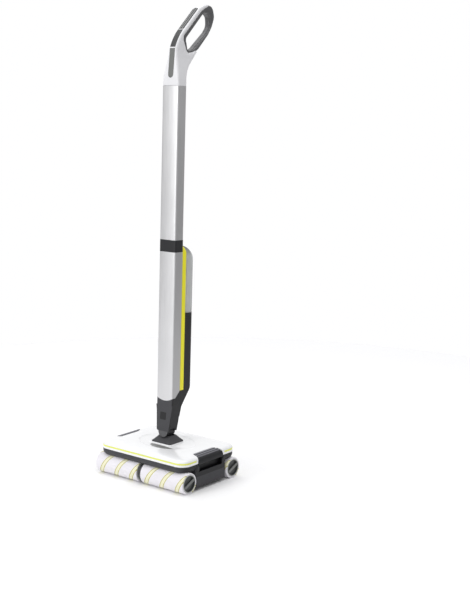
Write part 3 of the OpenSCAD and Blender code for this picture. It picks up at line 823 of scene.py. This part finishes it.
def head_cover():
    """The white cover: a crowned shell with a shallow dish round the joint and openings for the grips."""
    low, high = sizes("head_cover")
    w, d = high.x - low.x, high.y - low.y
    band, line = sizes("cover_accent")
    # the wall from its foot up, as how far in and how high, with the accent's groove on the way
    wall = [
        (0.9, low.z), (0.3, low.z + 0.3), (0, low.z + 1), (0, band.z - 0.5), (0.35, band.z), (1.3, band.z),
        (1.3, line.z), (0.35, line.z), (0.1, line.z + 0.5), (0.3, 81.8), (0.9, 83.2), (2.0, 84.6),
        (3.6, 85.9), (5.8, 87.0), (8.6, 87.8), (12, 88.5), (17, 89.2), (24, 89.8), (32, 90.2),
    ]
    rings = [plan_ring(w - 2 * i, d - 2 * i, max(COVER_CORNER - 0.8 * i, 6), z) for i, z in wall]
    shelf = rings[-1]
    dish = [(88, 64.5, 90.4), (86, 62.5, 90.3), (84.6, 61.2, 89.7), (83.4, 60.0, 89.1), (81.5, 58.2, 88.8)]
    for a, b, z in dish:
        rings.append(ellipse_like(shelf, a, b, z))
    inner = rings[-1]
    # the collar round the boot, from the dish up, over and in
    collar = plan_ring(73, 64, 9, 88.9)
    for t in (0.25, 0.5, 0.75):
        rings.append([p.lerp(q, t) for p, q in zip(inner, collar)])
    rings.append(collar)
    for w_in, d_in, r, z in ((69, 60.5, 8, 89.4), (67, 58.5, 8, 91.2), (65, 57, 7, 91.4), (56, 54, 7, 91.4)):
        rings.append(plan_ring(w_in, d_in, r, z))
    opening = 52
    rings.append(plan_ring(opening, opening, 6, 90.9))
    under = [plan_ring(opening, opening, 6, 87)]
    for size, z in ((150, 86.4), (w - 24, 85), (w - 8, 82), (w - 6, low.z)):
        under.append(plan_ring(size, min(size, d - (w - size)), max(6, min(24, size / 8)), z))
    cover = clean(loft("cover_skin", rings + under, around=True), 0)
    cut(cover, *grip_windows())
    install(smooth(clean(cover, 0.2), 38, weighted=False), "head_cover")


def cover_accent():
    """The lime line round the cover, and the white lips that take its place beside the grips."""
    low, high = sizes("head_cover")
    w, d = high.x - low.x, high.y - low.y
    band, line = sizes("cover_accent")
    ring = [(1.25, band.z + 0.05), (0.1, band.z + 0.05), (-0.15, band.z + 0.35), (-0.2, band.z + 2)]
    ring += [(-0.15, line.z - 0.35), (0.1, line.z - 0.05), (1.25, line.z - 0.05)]
    rings = [plan_ring(w - 2 * i, d - 2 * i, COVER_CORNER, z) for i, z in ring]
    lip_length = 6.3
    accent = cut(clean(loft("accent_line", rings, around=True), 0), *grip_windows(lip_length + 0.2))
    install(smooth(accent, 50, weighted=False), "cover_accent")
    for window in grip_windows(lip_length):
        lip = cut(clean(loft("cover_lip", rings, around=True), 0), window, keep="INTERSECT")
        cut(lip, *grip_windows())
        extra(smooth(lip, 50, weighted=False), "head_cover", "white_gloss")


def dish_inlay():
    """A plain grey crescent in the dish, in front of the joint, with a sharp right tip: partly a generic
    stand-in for the printed mark, and partly painted shade of the dish's front slope.
    """
    outer = [(-24, -37.5), (-8, -36.6), (12, -36.6), (34, -38.0), (62, -42.0)]
    lower = [(46, -48.6), (28, -53.4), (10, -55.4), (-6, -54.0), (-18, -48.0)]
    plan = fillet([*outer, *lower], 1.0)
    inlay = prism("dish_inlay", resample(plan, 2.0), 88.2, 89.35)
    extra(smooth(rounded_edges(inlay, 0.25), 40), "head_cover", "panel_grey", INLAY_AND_SHADE)


def head_frame():
    """The chassis, with its band curving in over the rollers and its skirt leaning in above a crease."""
    low, high = sizes("head_frame")
    frame_obj = copy_of("head_frame", "chassis")
    band_w, band_d = 296, high.y - low.y
    form = [(9.5, 40), (9.5, 51.9), (6.2, 53.2), (3.6, 55), (1.8, 57.3), (0.7, 60), (0.1, 63.5), (0, 66)]
    rings = [plan_ring(band_w - 2 * i, band_d - 2 * i, 28 - 0.3 * i, z) for i, z in form]
    skirt = [(149.6, 9), (149.4, 12), (147.9, 35), (147.9, 51.5), (160, 51.5), (160, 9)]
    arches_y = 59.4
    for s in (-1, 1):
        block = prism("block", [(-200, 0), (200, 0), (200, 200), (-200, 200)], 45, 64)
        if s < 0:
            block.data.transform(Matrix.Rotation(math.pi, 4, "Z"))
        block.data.transform(Matrix.Translation((0, s * arches_y * MM, 0)))
        cut(block, clean(loft("form", rings), 0))
        cut(frame_obj, block)
        cut(frame_obj, prism("side", [(s * x, z) for x, z in skirt], -60, 60, "y"))
    clean(frame_obj, 1.0)
    install(smooth(rounded_edges(frame_obj, 0.7, 2, 38), 40), "head_frame", material=CHASSIS)


# the middle of the grips' hinge pins, as (x, z) in millimetres
GRIP_PIN = (129, 80)


def grip_profile():
    """The grip's outline seen from the front, with its grooves pressed in."""
    top = [(126.0, 87.4), (126.3, 90.4), (128.4, 91.9), (132.5, 91.4), (137.4, 89.5), (142.2, 86.2)]
    top += [(146.2, 81.4), (148.9, 75.2), (150.0, 69.6), (149.6, 67.9), (148.0, 67.6), (146.8, 69.0)]
    under = [(145.6, 73.8), (143.0, 78.4), (139.4, 82.2), (135.4, 84.4), (132.6, 84.2), (132.5, 80.6)]
    under += [(131.2, 77.3), (128.6, 76.4), (126.2, 77.8), (125.5, 80.6)]
    grooves = [Vector(g) for g in RIB_GROOVES]
    groove_depth, groove_half = 1.7, 0.9
    centre = Vector((134, 79))
    shaped = []
    for p in resample(fillet([*top, *under], 3.0), 0.6):
        gap = min((p - g).length for g in grooves)
        press = groove_depth * math.exp(-((gap / groove_half) ** 2))
        shaped.append(p + (centre - p).normalized() * press)
    return shaped


def grip(side, node):
    """The hinged grip: a curved shell, longer towards its outside, with the barrel at its pin."""
    inner_x, inner_reach, outer_x, outer_reach = 125, 42.2, 150, 49.2
    widening = (outer_reach - inner_reach) / (outer_x - inner_x)
    shaped = grip_profile()
    rows = [
        [(side * p.x, share * (inner_reach + (p.x - inner_x) * widening), p.y) for p in shaped]
        for share in np.linspace(-1, 1, 9)
    ]
    obj = clean(loft("grip_" + ("left", "right")[side > 0], rows), 0)
    # its rear corner is swept, down to the barrel, and beyond the barrel right through
    gap = 0.6
    sweep = [(x + gap, y - gap) for x, y in SWEPT_CORNER]
    for inner, floor_z in ((118, 84.7), (133.5, 60)):
        kept = [(x, y) for x, y in sweep if x > inner]
        corner = [(side * x, y) for x, y in [(151, 60), *kept, (inner, kept[-1][1] - 6.5), (inner, 60)]]
        cut(obj, prism("corner", corner, floor_z, 120))
    bore = [(side * x, z) for x, z in circle(1.65, GRIP_PIN, 0, 360, 24)]
    cut(obj, prism("bore", bore, -70, 70, "y"))
    install(smooth(rounded_edges(obj, 0.6, 2, 50), 40), node, material=GRIP)


def cap_bar(node):
    """The paler face of the bar that a roller's end cap is gripped by."""
    rim, half_width, lean = 2.0, 3.4, -65
    sunk, proud = 0.3, 0.25
    low, high = sizes(node)
    centre, radius = (low + high) / 2, (high.z - low.z) / 2
    side = math.copysign(1, centre.x)
    long, wide = radius - rim, half_width
    plan = fillet([(-wide, -long), (wide, -long), (wide, long), (-wide, long)], 1.6)
    turn = Matrix.Rotation(math.radians(lean), 2)
    plan = [turn @ p + Vector((centre.y, centre.z)) for p in plan]
    face = high.x if side > 0 else low.x
    bar = prism(node.replace("cap", "bar"), plan, *sorted((face - sunk * side, face + proud * side)), "x")
    extra(smooth(rounded_edges(bar, 0.2), 50), node, "cap_dark", BAR)


def fleece(node):
    """A microfibre sleeve whose pile stands unevenly, on its own axis so that its stripes wind round."""
    around, along = 132, 112
    round_off, pile_spread, pile_loss = 2.2, 0.16, 0.12
    low, high = sizes(node)
    centre = (low + high) / 2
    radius, length = (high.z - low.z) / 2, high.x - low.x
    core = sizes("core_" + node[len("sleeve_"):])
    bore = (core[1].z - core[0].z) / 2 + 0.05
    rng = np.random.default_rng(sum(map(ord, node)))
    end = [(-length / 2 + 0.5, bore), (-length / 2, bore + 0.6)]
    for angle in (0, 22, 45, 67, 90):
        a = math.radians(angle)
        end.append((-length / 2 + round_off * (1 - math.cos(a)), radius - round_off * (1 - math.sin(a))))
    body = [(x, radius) for x in np.linspace(-length / 2 + round_off, length / 2 - round_off, along)[1:-1]]
    profile = end + body + [(-x, r) for x, r in reversed(end)]
    verts, faces = [], []
    for x, r in profile:
        pile = rng.normal(0, pile_spread, around) if r > bore + 1.5 else np.zeros(around)
        for i in range(around):
            a = 2 * math.pi * i / around
            grown = min(r + pile[i] - pile_loss, radius)
            verts.append((x, grown * math.cos(a), grown * math.sin(a)))
    for k in range(len(profile) - 1):
        for i in range(around):
            j = (i + 1) % around
            faces.append((k * around + i, (k + 1) * around + i, (k + 1) * around + j, k * around + j))
    obj = mesh_object(node + "_pile", verts, faces)
    smooth(obj, 80, weighted=False)
    obj.data.materials.append(FLEECE)
    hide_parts(node)
    obj.matrix_world = Matrix.Translation((centre * MM) + Vector((0, HEAD_Y, 0)))
    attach(obj, BODY_OF[node])


def boot():
    """Soft pyramid over the joint, hollowed where the neck's round tongue passes."""
    top = sizes("joint_boot")[1].z
    foot = [(66.6, 57.6, 7, 91.2), (66.8, 57.8, 7, 93.0), (66.0, 57.0, 7, 94.0), (64.0, 55.4, 6.6, 94.6)]
    rings = [plan_ring(w, d, r, z, 8, 14) for w, d, r, z in foot]
    # low enough for the neck's lower corners to swing past
    crown = top - 1.5
    foot_w, foot_d, foot_z, crown_w, crown_d = 63.4, 55.0, 94.6, 38, 28
    steps = 15
    for k in range(1, steps + 1):
        t = k / steps
        sag = 0.9 * math.sin(math.pi * t)
        w, d = foot_w + (crown_w - foot_w) * t - sag, foot_d + (crown_d - foot_d) * t - sag
        ring = plan_ring(w, d, 6.4 - 3.0 * t, foot_z + (crown - foot_z - 0.3) * t, 8, 14)
        rings.append([p + Vector((0, t, 0)) for p in ring])
    for w, d, z in ((37.2, 27.2, crown), (35.6, 24.6, crown), (34.8, 23.6, crown - 0.6), (38, 27, 106)):
        rings.append([p + Vector((0, 1, 0)) for p in plan_ring(w, d, 3, z, 8, 14)])
    for size, z in ((46, 98), (50, 93.4), (50, 91.2)):
        rings.append(plan_ring(size, size, 4, z, 8, 14))
    hollow_y, hollow_r, fade = -12.4, 17, 2
    for p in (p for ring in rings for p in ring):
        beyond = math.hypot(p.x, p.z - SWIVEL_Z) - hollow_r
        if p.y < hollow_y and beyond < fade:
            p.y = max(p.y, hollow_y - max(0, beyond) / fade * 8)
    obj = clean(loft("boot_skin", rings, around=True), 0)
    smooth(obj, 34, weighted=False)
    obj.data.materials.append(MATERIALS["soft_rubber"])
    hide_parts("joint_boot")
    obj.matrix_world = FRAME_OF["root"]
    bpy.context.view_layer.update()
    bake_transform(obj)


# ---------------------------------------------------------------- stick and handle


def stick_sizes(node):
    """A node's lowest and highest corner in millimetres, in the stick's own frame."""
    turn = STICK.inverted()
    co = [turn @ v.co for v in NODES[node].data.vertices]
    low = Vector([min(c[i] for c in co) for i in range(3)]) / MM
    high = Vector([max(c[i] for c in co) for i in range(3)]) / MM
    return low, high


def neck():
    """The neck with softened edges and a short apron at its front."""
    body = copy_of("neck_housing")
    front = [(-15, 122.02), (-20.6, 122.02), (-20.6, 129), (-16, 176), (-15, 176)]
    apron = prism("apron", front, -26, 26, "x")
    taper = [(-19.9, 100), (19.9, 100), (19.95, 122), (27.4, 190), (-27.4, 190), (-19.95, 122)]
    cut(apron, prism("taper", taper, -30, 30, "y"), keep="INTERSECT")
    cut(body, apron, keep="UNION")
    install(smooth(rounded_edges(clean(body, 1.0), 1.1, 3, 35), 40), "neck_housing")


def neck_details():
    """The drum of the joint, the neck's round front tongue, and a plain badge panel."""
    drum = prism("joint_drum", circle(15.4, (0, SWIVEL_Z), 0, 360, 48), -13.2, 5.2, "y")
    extra(smooth(rounded_edges(drum, 0.8, 2, 50), 40), "joint_link", "anthracite")
    half = 16
    lower_half = circle(half, (0, SWIVEL_Z), 180, 360, 24) + [(half, SWIVEL_Z)]
    outline = [(-half, SWIVEL_Z + 10), *lower_half, (half, SWIVEL_Z + 10)]
    tongue = prism("neck_tongue", outline, -19.9, -18.2, "y")
    extra(smooth(rounded_edges(tongue, 0.7, 3, 50), 50), "neck_housing", "anthracite", TONGUE)
    foot, top, lean = 152, 171.5, 1.9
    plan = fillet([(-12, foot), (8, foot), (8, top), (-12, top)], 1.4)
    panel = prism("badge", plan, -18.7, -16.4, "y")
    for v in panel.data.vertices:
        v.co.y += lean * (v.co.z / MM - foot) / (top - foot) * MM
    extra(smooth(rounded_edges(panel, 0.3, 2, 50), 50), "neck_housing", "panel_grey", BADGE)


def tank():
    """The smoky vessel: a wall of even thickness, with a domed top that falls away to the rear."""
    dome, wall = 37.0, 1.8
    low, high = stick_sizes("fresh_tank")
    # heights, with the share of the full width and depth that is left there
    rows = [(low.z, 1.0), (low.z + 0.5, 1.0)]
    rows += [(z, 1.0) for z in np.linspace(low.z + 8, high.z - dome, 8)]
    for angle in np.linspace(8, 82, 11):
        a = math.radians(angle)
        rows.append((high.z - dome + dome * math.sin(a), math.cos(a) ** 0.9))
    rows.append((high.z - 0.25, 0.10))
    wide, deep = (high.x - low.x) / 2, high.y - low.y

    def shell(name, inset):
        rings = []
        for z, share in rows:
            w, d = 2 * wide * share - 2 * inset, deep * share - 2 * inset
            if w < 3 or d < 3:
                continue
            r = min(14 * (0.55 + 0.45 * share), w / 2 - 0.2, d / 2 - 0.2)
            ring = plan_ring(w, d, max(0.8, r), z - inset * (1 - share), 10, 6)
            rings.append([p + Vector((0, low.y + deep * share / 2, 0)) for p in ring])
        return clean(loft(name, rings), 0)

    outside = shell("tank_skin", 0)
    room = shell("room", wall)
    room.data.transform(Matrix.Translation((0, 0, 1.2 * MM)))
    cut(outside, room)
    install(smooth(outside, 40, weighted=False), "fresh_tank")


def table(pairs):
    """A smooth function through (place, value) pairs."""
    places, values = zip(*pairs)

    def at(z):
        return float(np.interp(z, places, values))

    return at


# the handle's side view, in millimetres: where the tube ends, the knee, and the bend's top and circle
TUBE_TOP = 1013.0
KNEE = Vector((-11, 1108))
BEND = Vector((18.6, 1154.4))
BEND_RADIUS = 127
BEND_CENTRE = BEND + BEND_RADIUS * Vector((math.cos(math.radians(-45)), math.sin(math.radians(-45))))

# half the handle's width at each height, and how deep and how wide its edges are rounded there
HANDLE_HALF = table([
    (TUBE_TOP, 27.5), (1026, 26.9), (1040, 25.0), (1062, 20.6), (1080, 16.6), (1096, 14.2), (1112, 13.5),
])
HANDLE_DEEP = table([(TUBE_TOP, 5), (1040, 6), (1080, 8), (1230, 8)])
HANDLE_WIDE = table([(TUBE_TOP, 5), (1060, 5.6), (1230, 5.6)])


def shell_edge(p):
    """How deep and how wide the light shell's edges are rounded at a point."""
    return HANDLE_DEEP(p.y), HANDLE_WIDE(p.y)


def bend_points(first, last, count):
    """Points of the handle's bend, between two bearings in degrees."""
    turns = [math.radians(a) for a in np.linspace(first, last, count)]
    return [BEND_CENTRE + BEND_RADIUS * Vector((math.cos(a), math.sin(a))) for a in turns]


# outlines in the side view, as (y, z) with a corner radius where it isn't the usual one
SHELL_FRONT = [(-16, TUBE_TOP), (-16.9, 1032, 8)] + [tuple(p) + (0.1,) for p in bend_points(160, 135, 12)]
SHELL = SHELL_FRONT + [
    (76, 1211.4, 20), (92, 1219.4, 20), (103, 1222.6, 14), (113, 1223, 3), (116, 1221, 3),
    (108, 1213.6, 10), (96, 1208.6, 14), (84.6, 1201.6, 10), (19.6, 1137.2, 9), (19.4, 1128, 12),
    (31.6, 1100.6, 9), (38, 1097.6, 6), (53, 1099.4, 10), (65, 1105.6, 4), (71.5, 1100.4, 3),
    (53, 1081.4, 40), (35.5, 1065, 30), (24, 1050, 40), (17.4, 1032, 40), (16, TUBE_TOP),
]
LOOP_RIM = [
    (15.6, 1129), (17.8, 1138.4), (85.2, 1204.4), (96, 1212), (106, 1218, 14), (119, 1221.4, 24),
    (134, 1212, 24), (140.6, 1193, 26), (130.4, 1166.5, 60), (117.0, 1146.0, 34), (79.5, 1107.4, 9),
    (69, 1100.6, 7), (53.5, 1096.4, 8), (37, 1094.6, 8), (29, 1099, 8),
]
LOOP_HOLE = [
    (25, 1130), (94, 1200, 14), (109, 1203.5, 12), (121, 1191, 18), (123.5, 1170, 22),
    (110, 1153, 16), (62, 1111.6, 10), (50, 1104.6, 8), (37.6, 1104.4, 8),
]

# the middle lines of the three strips along the handle's front
STRIP_HALF = 8.4
LOW_LINE = [Vector((-16.95, 1032.5)), Vector((-16.6, 1040)), KNEE + Vector((-0.25, -2.0))]
BEND_LINE = bend_points(159.6, 135.3, 14)
TOP_LINE = [BEND + Vector((0.75, 0.75)), Vector((47, 1182.6)), Vector((77.5, 1212.4))]


def front_strip(name, line, half, lift, depth, round_low, round_high, ridge=None, dip=0.0):
    """A strip along the handle's front: line is its middle, with rounded ends where asked.

    It stands lift above the line and goes depth below it. ridge(s, x) is its relief, and dip hollows it."""
    across, edge_width, flattest = 15, 0.9, 0.006
    path = resample(line, 0.8, closed=False)
    lengths = lengths_along(path)
    total = lengths[-1]
    loops = []
    for k, p in enumerate(path):
        s = lengths[k]
        along = (path[min(k + 1, len(path) - 1)] - path[max(k - 1, 0)]).normalized()
        out = Vector((-along.y, along.x))
        reach = half
        if round_low and s < half:
            reach = half * math.sqrt(max(flattest, 1 - (1 - s / half) ** 2))
        if round_high and total - s < half:
            reach = half * math.sqrt(max(flattest, 1 - (1 - (total - s) / half) ** 2))
        ends = min(1.0, s, total - s)
        top, base = [], []
        for i in range(across):
            u = 2 * i / (across - 1) - 1
            x = u * reach
            edge = min(1.0, (1 - abs(u)) * reach / edge_width)
            soft = math.sqrt(max(0, 1 - (1 - min(edge, ends)) ** 2))
            rib = ridge(s, x) if ridge else 0.0
            height = lift - edge_width * (1 - soft) + (rib - dip * (1 - (x / half) ** 2)) * soft
            top.append((x, *(p + out * height)))
            base.append((x, *(p - out * depth)))
        loops.append(top + base[::-1])
    return clean(loft(name, loops), 0)


def lining_edge(p):
    """The rounding of the dark grip: slight on the lining of the front leg, and oval on the rear leg."""
    slight, oval_deep, oval_wide = 2.4, 7.0, 8.6
    behind = (p.x - 24.5) * 0.702 - (p.y - 1132) * 0.712
    share = min(1.0, max(0.0, (behind - 10) / 16))
    return slight + (oval_deep - slight) * share, slight + (oval_wide - slight) * share


def fine_ribs(s, x):
    """Fine ribs along the status panel: s, the place along it, is not used, and x is the place across it."""
    return 0.16 * math.cos(2 * math.pi * x / 1.9)


def cross_ribs(s, x):
    """Ribs across the mode key."""
    return 0.22 * math.cos(2 * math.pi * s / 3.1)


def long_ribs(s, x):
    """Two ridges along the power key, under its paler lines."""
    return 0.5 * math.exp(-((abs(x) - 3.4) / 1.2) ** 2) - 0.15


def handle():
    """The light shell with seats for its strips, and the dark grip that lines the loop."""
    body = inflated("handle_skin", [fillet(SHELL, 2)], HANDLE_HALF, shell_edge, TUBE_TOP + 0.3)
    grip_half = table([(1090, 11.4), (1120, 12), (1230, 12)])
    leg = inflated("handle_grip_skin", [fillet(LOOP_RIM, 6), fillet(LOOP_HOLE, 12)], grip_half, lining_edge)
    install(smooth(leg, 50, weighted=False), "handle_grip", material=LOOP)
    seats = [
        front_strip("seat", LOW_LINE, STRIP_HALF + 0.25, 6, 3.4, True, False),
        front_strip("seat", BEND_LINE, STRIP_HALF + 0.4, 6, 4.2, False, False),
        front_strip("seat", TOP_LINE, STRIP_HALF + 0.4, 6, 4.2, False, True),
    ]
    cut(body, *seats)
    install(smooth(body, 44, weighted=False), "handle_shell")


def strips():
    """The status panel, the curved mode key and the power key. The keys are shorter than their seats."""
    panel = front_strip("status_strip", LOW_LINE, STRIP_HALF, 0.35, 3.2, True, False, fine_ribs)
    install(smooth(panel, 40, weighted=False), "status_panel")
    mode_line = bend_points(159.35, 135.55, 14)
    mode = front_strip("mode_strip", mode_line, STRIP_HALF, 0.9, 2.2, False, False, cross_ribs, 0.3)
    install(smooth(mode, 40, weighted=False), "mode_key")
    slack = Vector((0.35, 0.35))
    key_line = [TOP_LINE[0] + slack, TOP_LINE[1], TOP_LINE[2] - slack]
    power = front_strip("power_strip", key_line, STRIP_HALF, 0.9, 2.2, False, True, long_ribs)
    install(smooth(power, 40, weighted=False), "power_key", material=STRIPED)


# ---------------------------------------------------------------- the scene

def fleece_material():
    """White microfibre with pale yellow bands between thin olive lines, wound round the roller."""
    spacing, starts, first = 0.052, 2, 0.018
    band_half, line_half = 0.112, 0.019
    g = Graph("fleece_pile")
    x, y, z = g.axes()
    wound = g.math("MULTIPLY", g.math("ARCTAN2", z, y), starts * spacing / (2 * math.pi))
    wobble = g.math("MULTIPLY", g.math("SUBTRACT", g.noise(420, detail=2), 0.5), 0.0016)
    place = g.math("ADD", g.math("ADD", x, wound), wobble)
    phase = g.math("FRACT", g.math("DIVIDE", g.math("ADD", place, 10 * spacing + first), spacing))
    off = g.math("ABSOLUTE", g.math("SUBTRACT", phase, 0.5))
    in_band = g.span(off, 1, 0, band_half - 0.008, band_half + 0.008)
    from_line = g.math("ABSOLUTE", g.math("SUBTRACT", off, band_half))
    in_line = g.span(from_line, 1, 0, line_half * 0.7, line_half * 1.4)
    pile = g.noise(1500, detail=3, rough=0.7)
    loops = g.cells(700)
    white = g.ramp(pile, (0.76, 0.735, 0.79), (0.90, 0.885, 0.92))
    yellow = g.ramp(pile, (0.80, 0.78, 0.52), (0.91, 0.89, 0.68))
    olive = g.ramp(pile, (0.38, 0.35, 0.02), (0.52, 0.48, 0.05))
    g.set(
        colour=g.mix(in_line, g.mix(in_band, white, yellow), olive),
        rough=g.span(pile, 0.82, 1.0),
        bump=(g.math("ADD", pile, g.math("MULTIPLY", loops, 0.6)), 0.5, 0.0012),
        Sheen_Weight=0.35,
        Sheen_Roughness=0.45,
    )
    return g.owner


def striped_key():
    """Soft key with two paler lines along it."""
    line_x = 0.0034
    g = Graph("key_striped")
    off = g.math("ABSOLUTE", g.math("SUBTRACT", g.math("ABSOLUTE", g.axes()[0]), line_x))
    line = g.span(off, 1, 0, 0.0009, 0.0017)
    grain = g.noise(1400, detail=2)
    dark = g.ramp(grain, (0.028, 0.028, 0.030), (0.040, 0.040, 0.042))
    pale = g.ramp(grain, (0.20, 0.205, 0.20), (0.26, 0.265, 0.26))
    g.set(colour=g.mix(line, dark, pale), rough=0.45, bump=(grain, 0.08, 0.0003))
    return g.owner


FRAME_OF = {}
HEAD = Matrix.Translation((0, HEAD_Y, 0))
for body_name in frame["bodies"]:
    on_stick = body_name in ("link", "stick", "water_tank", "power_button", "mode_button")
    FRAME_OF[body_name] = STICK if on_stick else HEAD

camera()
lights()
floor()
MATERIALS = make_materials()
FLEECE = fleece_material()
# grey of the dish's crescent: a stand-in for the printed mark, and partly painted shade
INLAY_AND_SHADE = moulded("dish_inlay_grey", (0.20, 0.20, 0.195), 0.35, depth=0.05)
TONGUE = moulded("tongue_grey", (0.085, 0.085, 0.09), 0.4, grain=1300, depth=0.12)
STRIPED = striped_key()
BADGE = moulded("badge_dark", (0.006, 0.006, 0.007), 0.6, grain=500, depth=0.4)
BAR = moulded("cap_bar_grey", (0.15, 0.155, 0.15), 0.4, depth=0.1)
CHASSIS = dark_moulded("chassis_dark", (0.048, 0.048, 0.053), chassis_tones)
GRIP = dark_moulded("grip_ribbed", (0.048, 0.048, 0.053), grip_tones_lit_top)
LOOP = moulded("loop_grip_grey", (0.105, 0.105, 0.11), 0.38, grain=700, depth=0.2, coat=0.3, spread=0.10)

for name, obj in NODES.items():
    obj.data.materials.clear()
    obj.data.materials.append(MATERIALS[SLOT_OF[name]])
    smooth(obj, 40, weighted=False)

head_cover()
cover_accent()
dish_inlay()
head_frame()
grip(-1, "release_grip_left")
grip(1, "release_grip_right")
boot()
for place in ("front_left", "front_right", "rear_left", "rear_right"):
    fleece("sleeve_" + place)
    edged("core_" + place, 0.35)
    edged("cap_" + place, 0.4)
    cap_bar("cap_" + place)
edged("gearbox_housing", 0.6)
neck()
neck_details()
edged("front_shell", 0.25, 2, 50)
edged("upper_tube", 0.25, 2, 50)
edged("coupling_band", 0.5, 3, 50)
edged("rear_housing", 1.2, 3, 35)
edged("tank_frame", 0.7, 3)
edged("tank_base", 0.8, 3, 40)
tank()
handle()
strips()
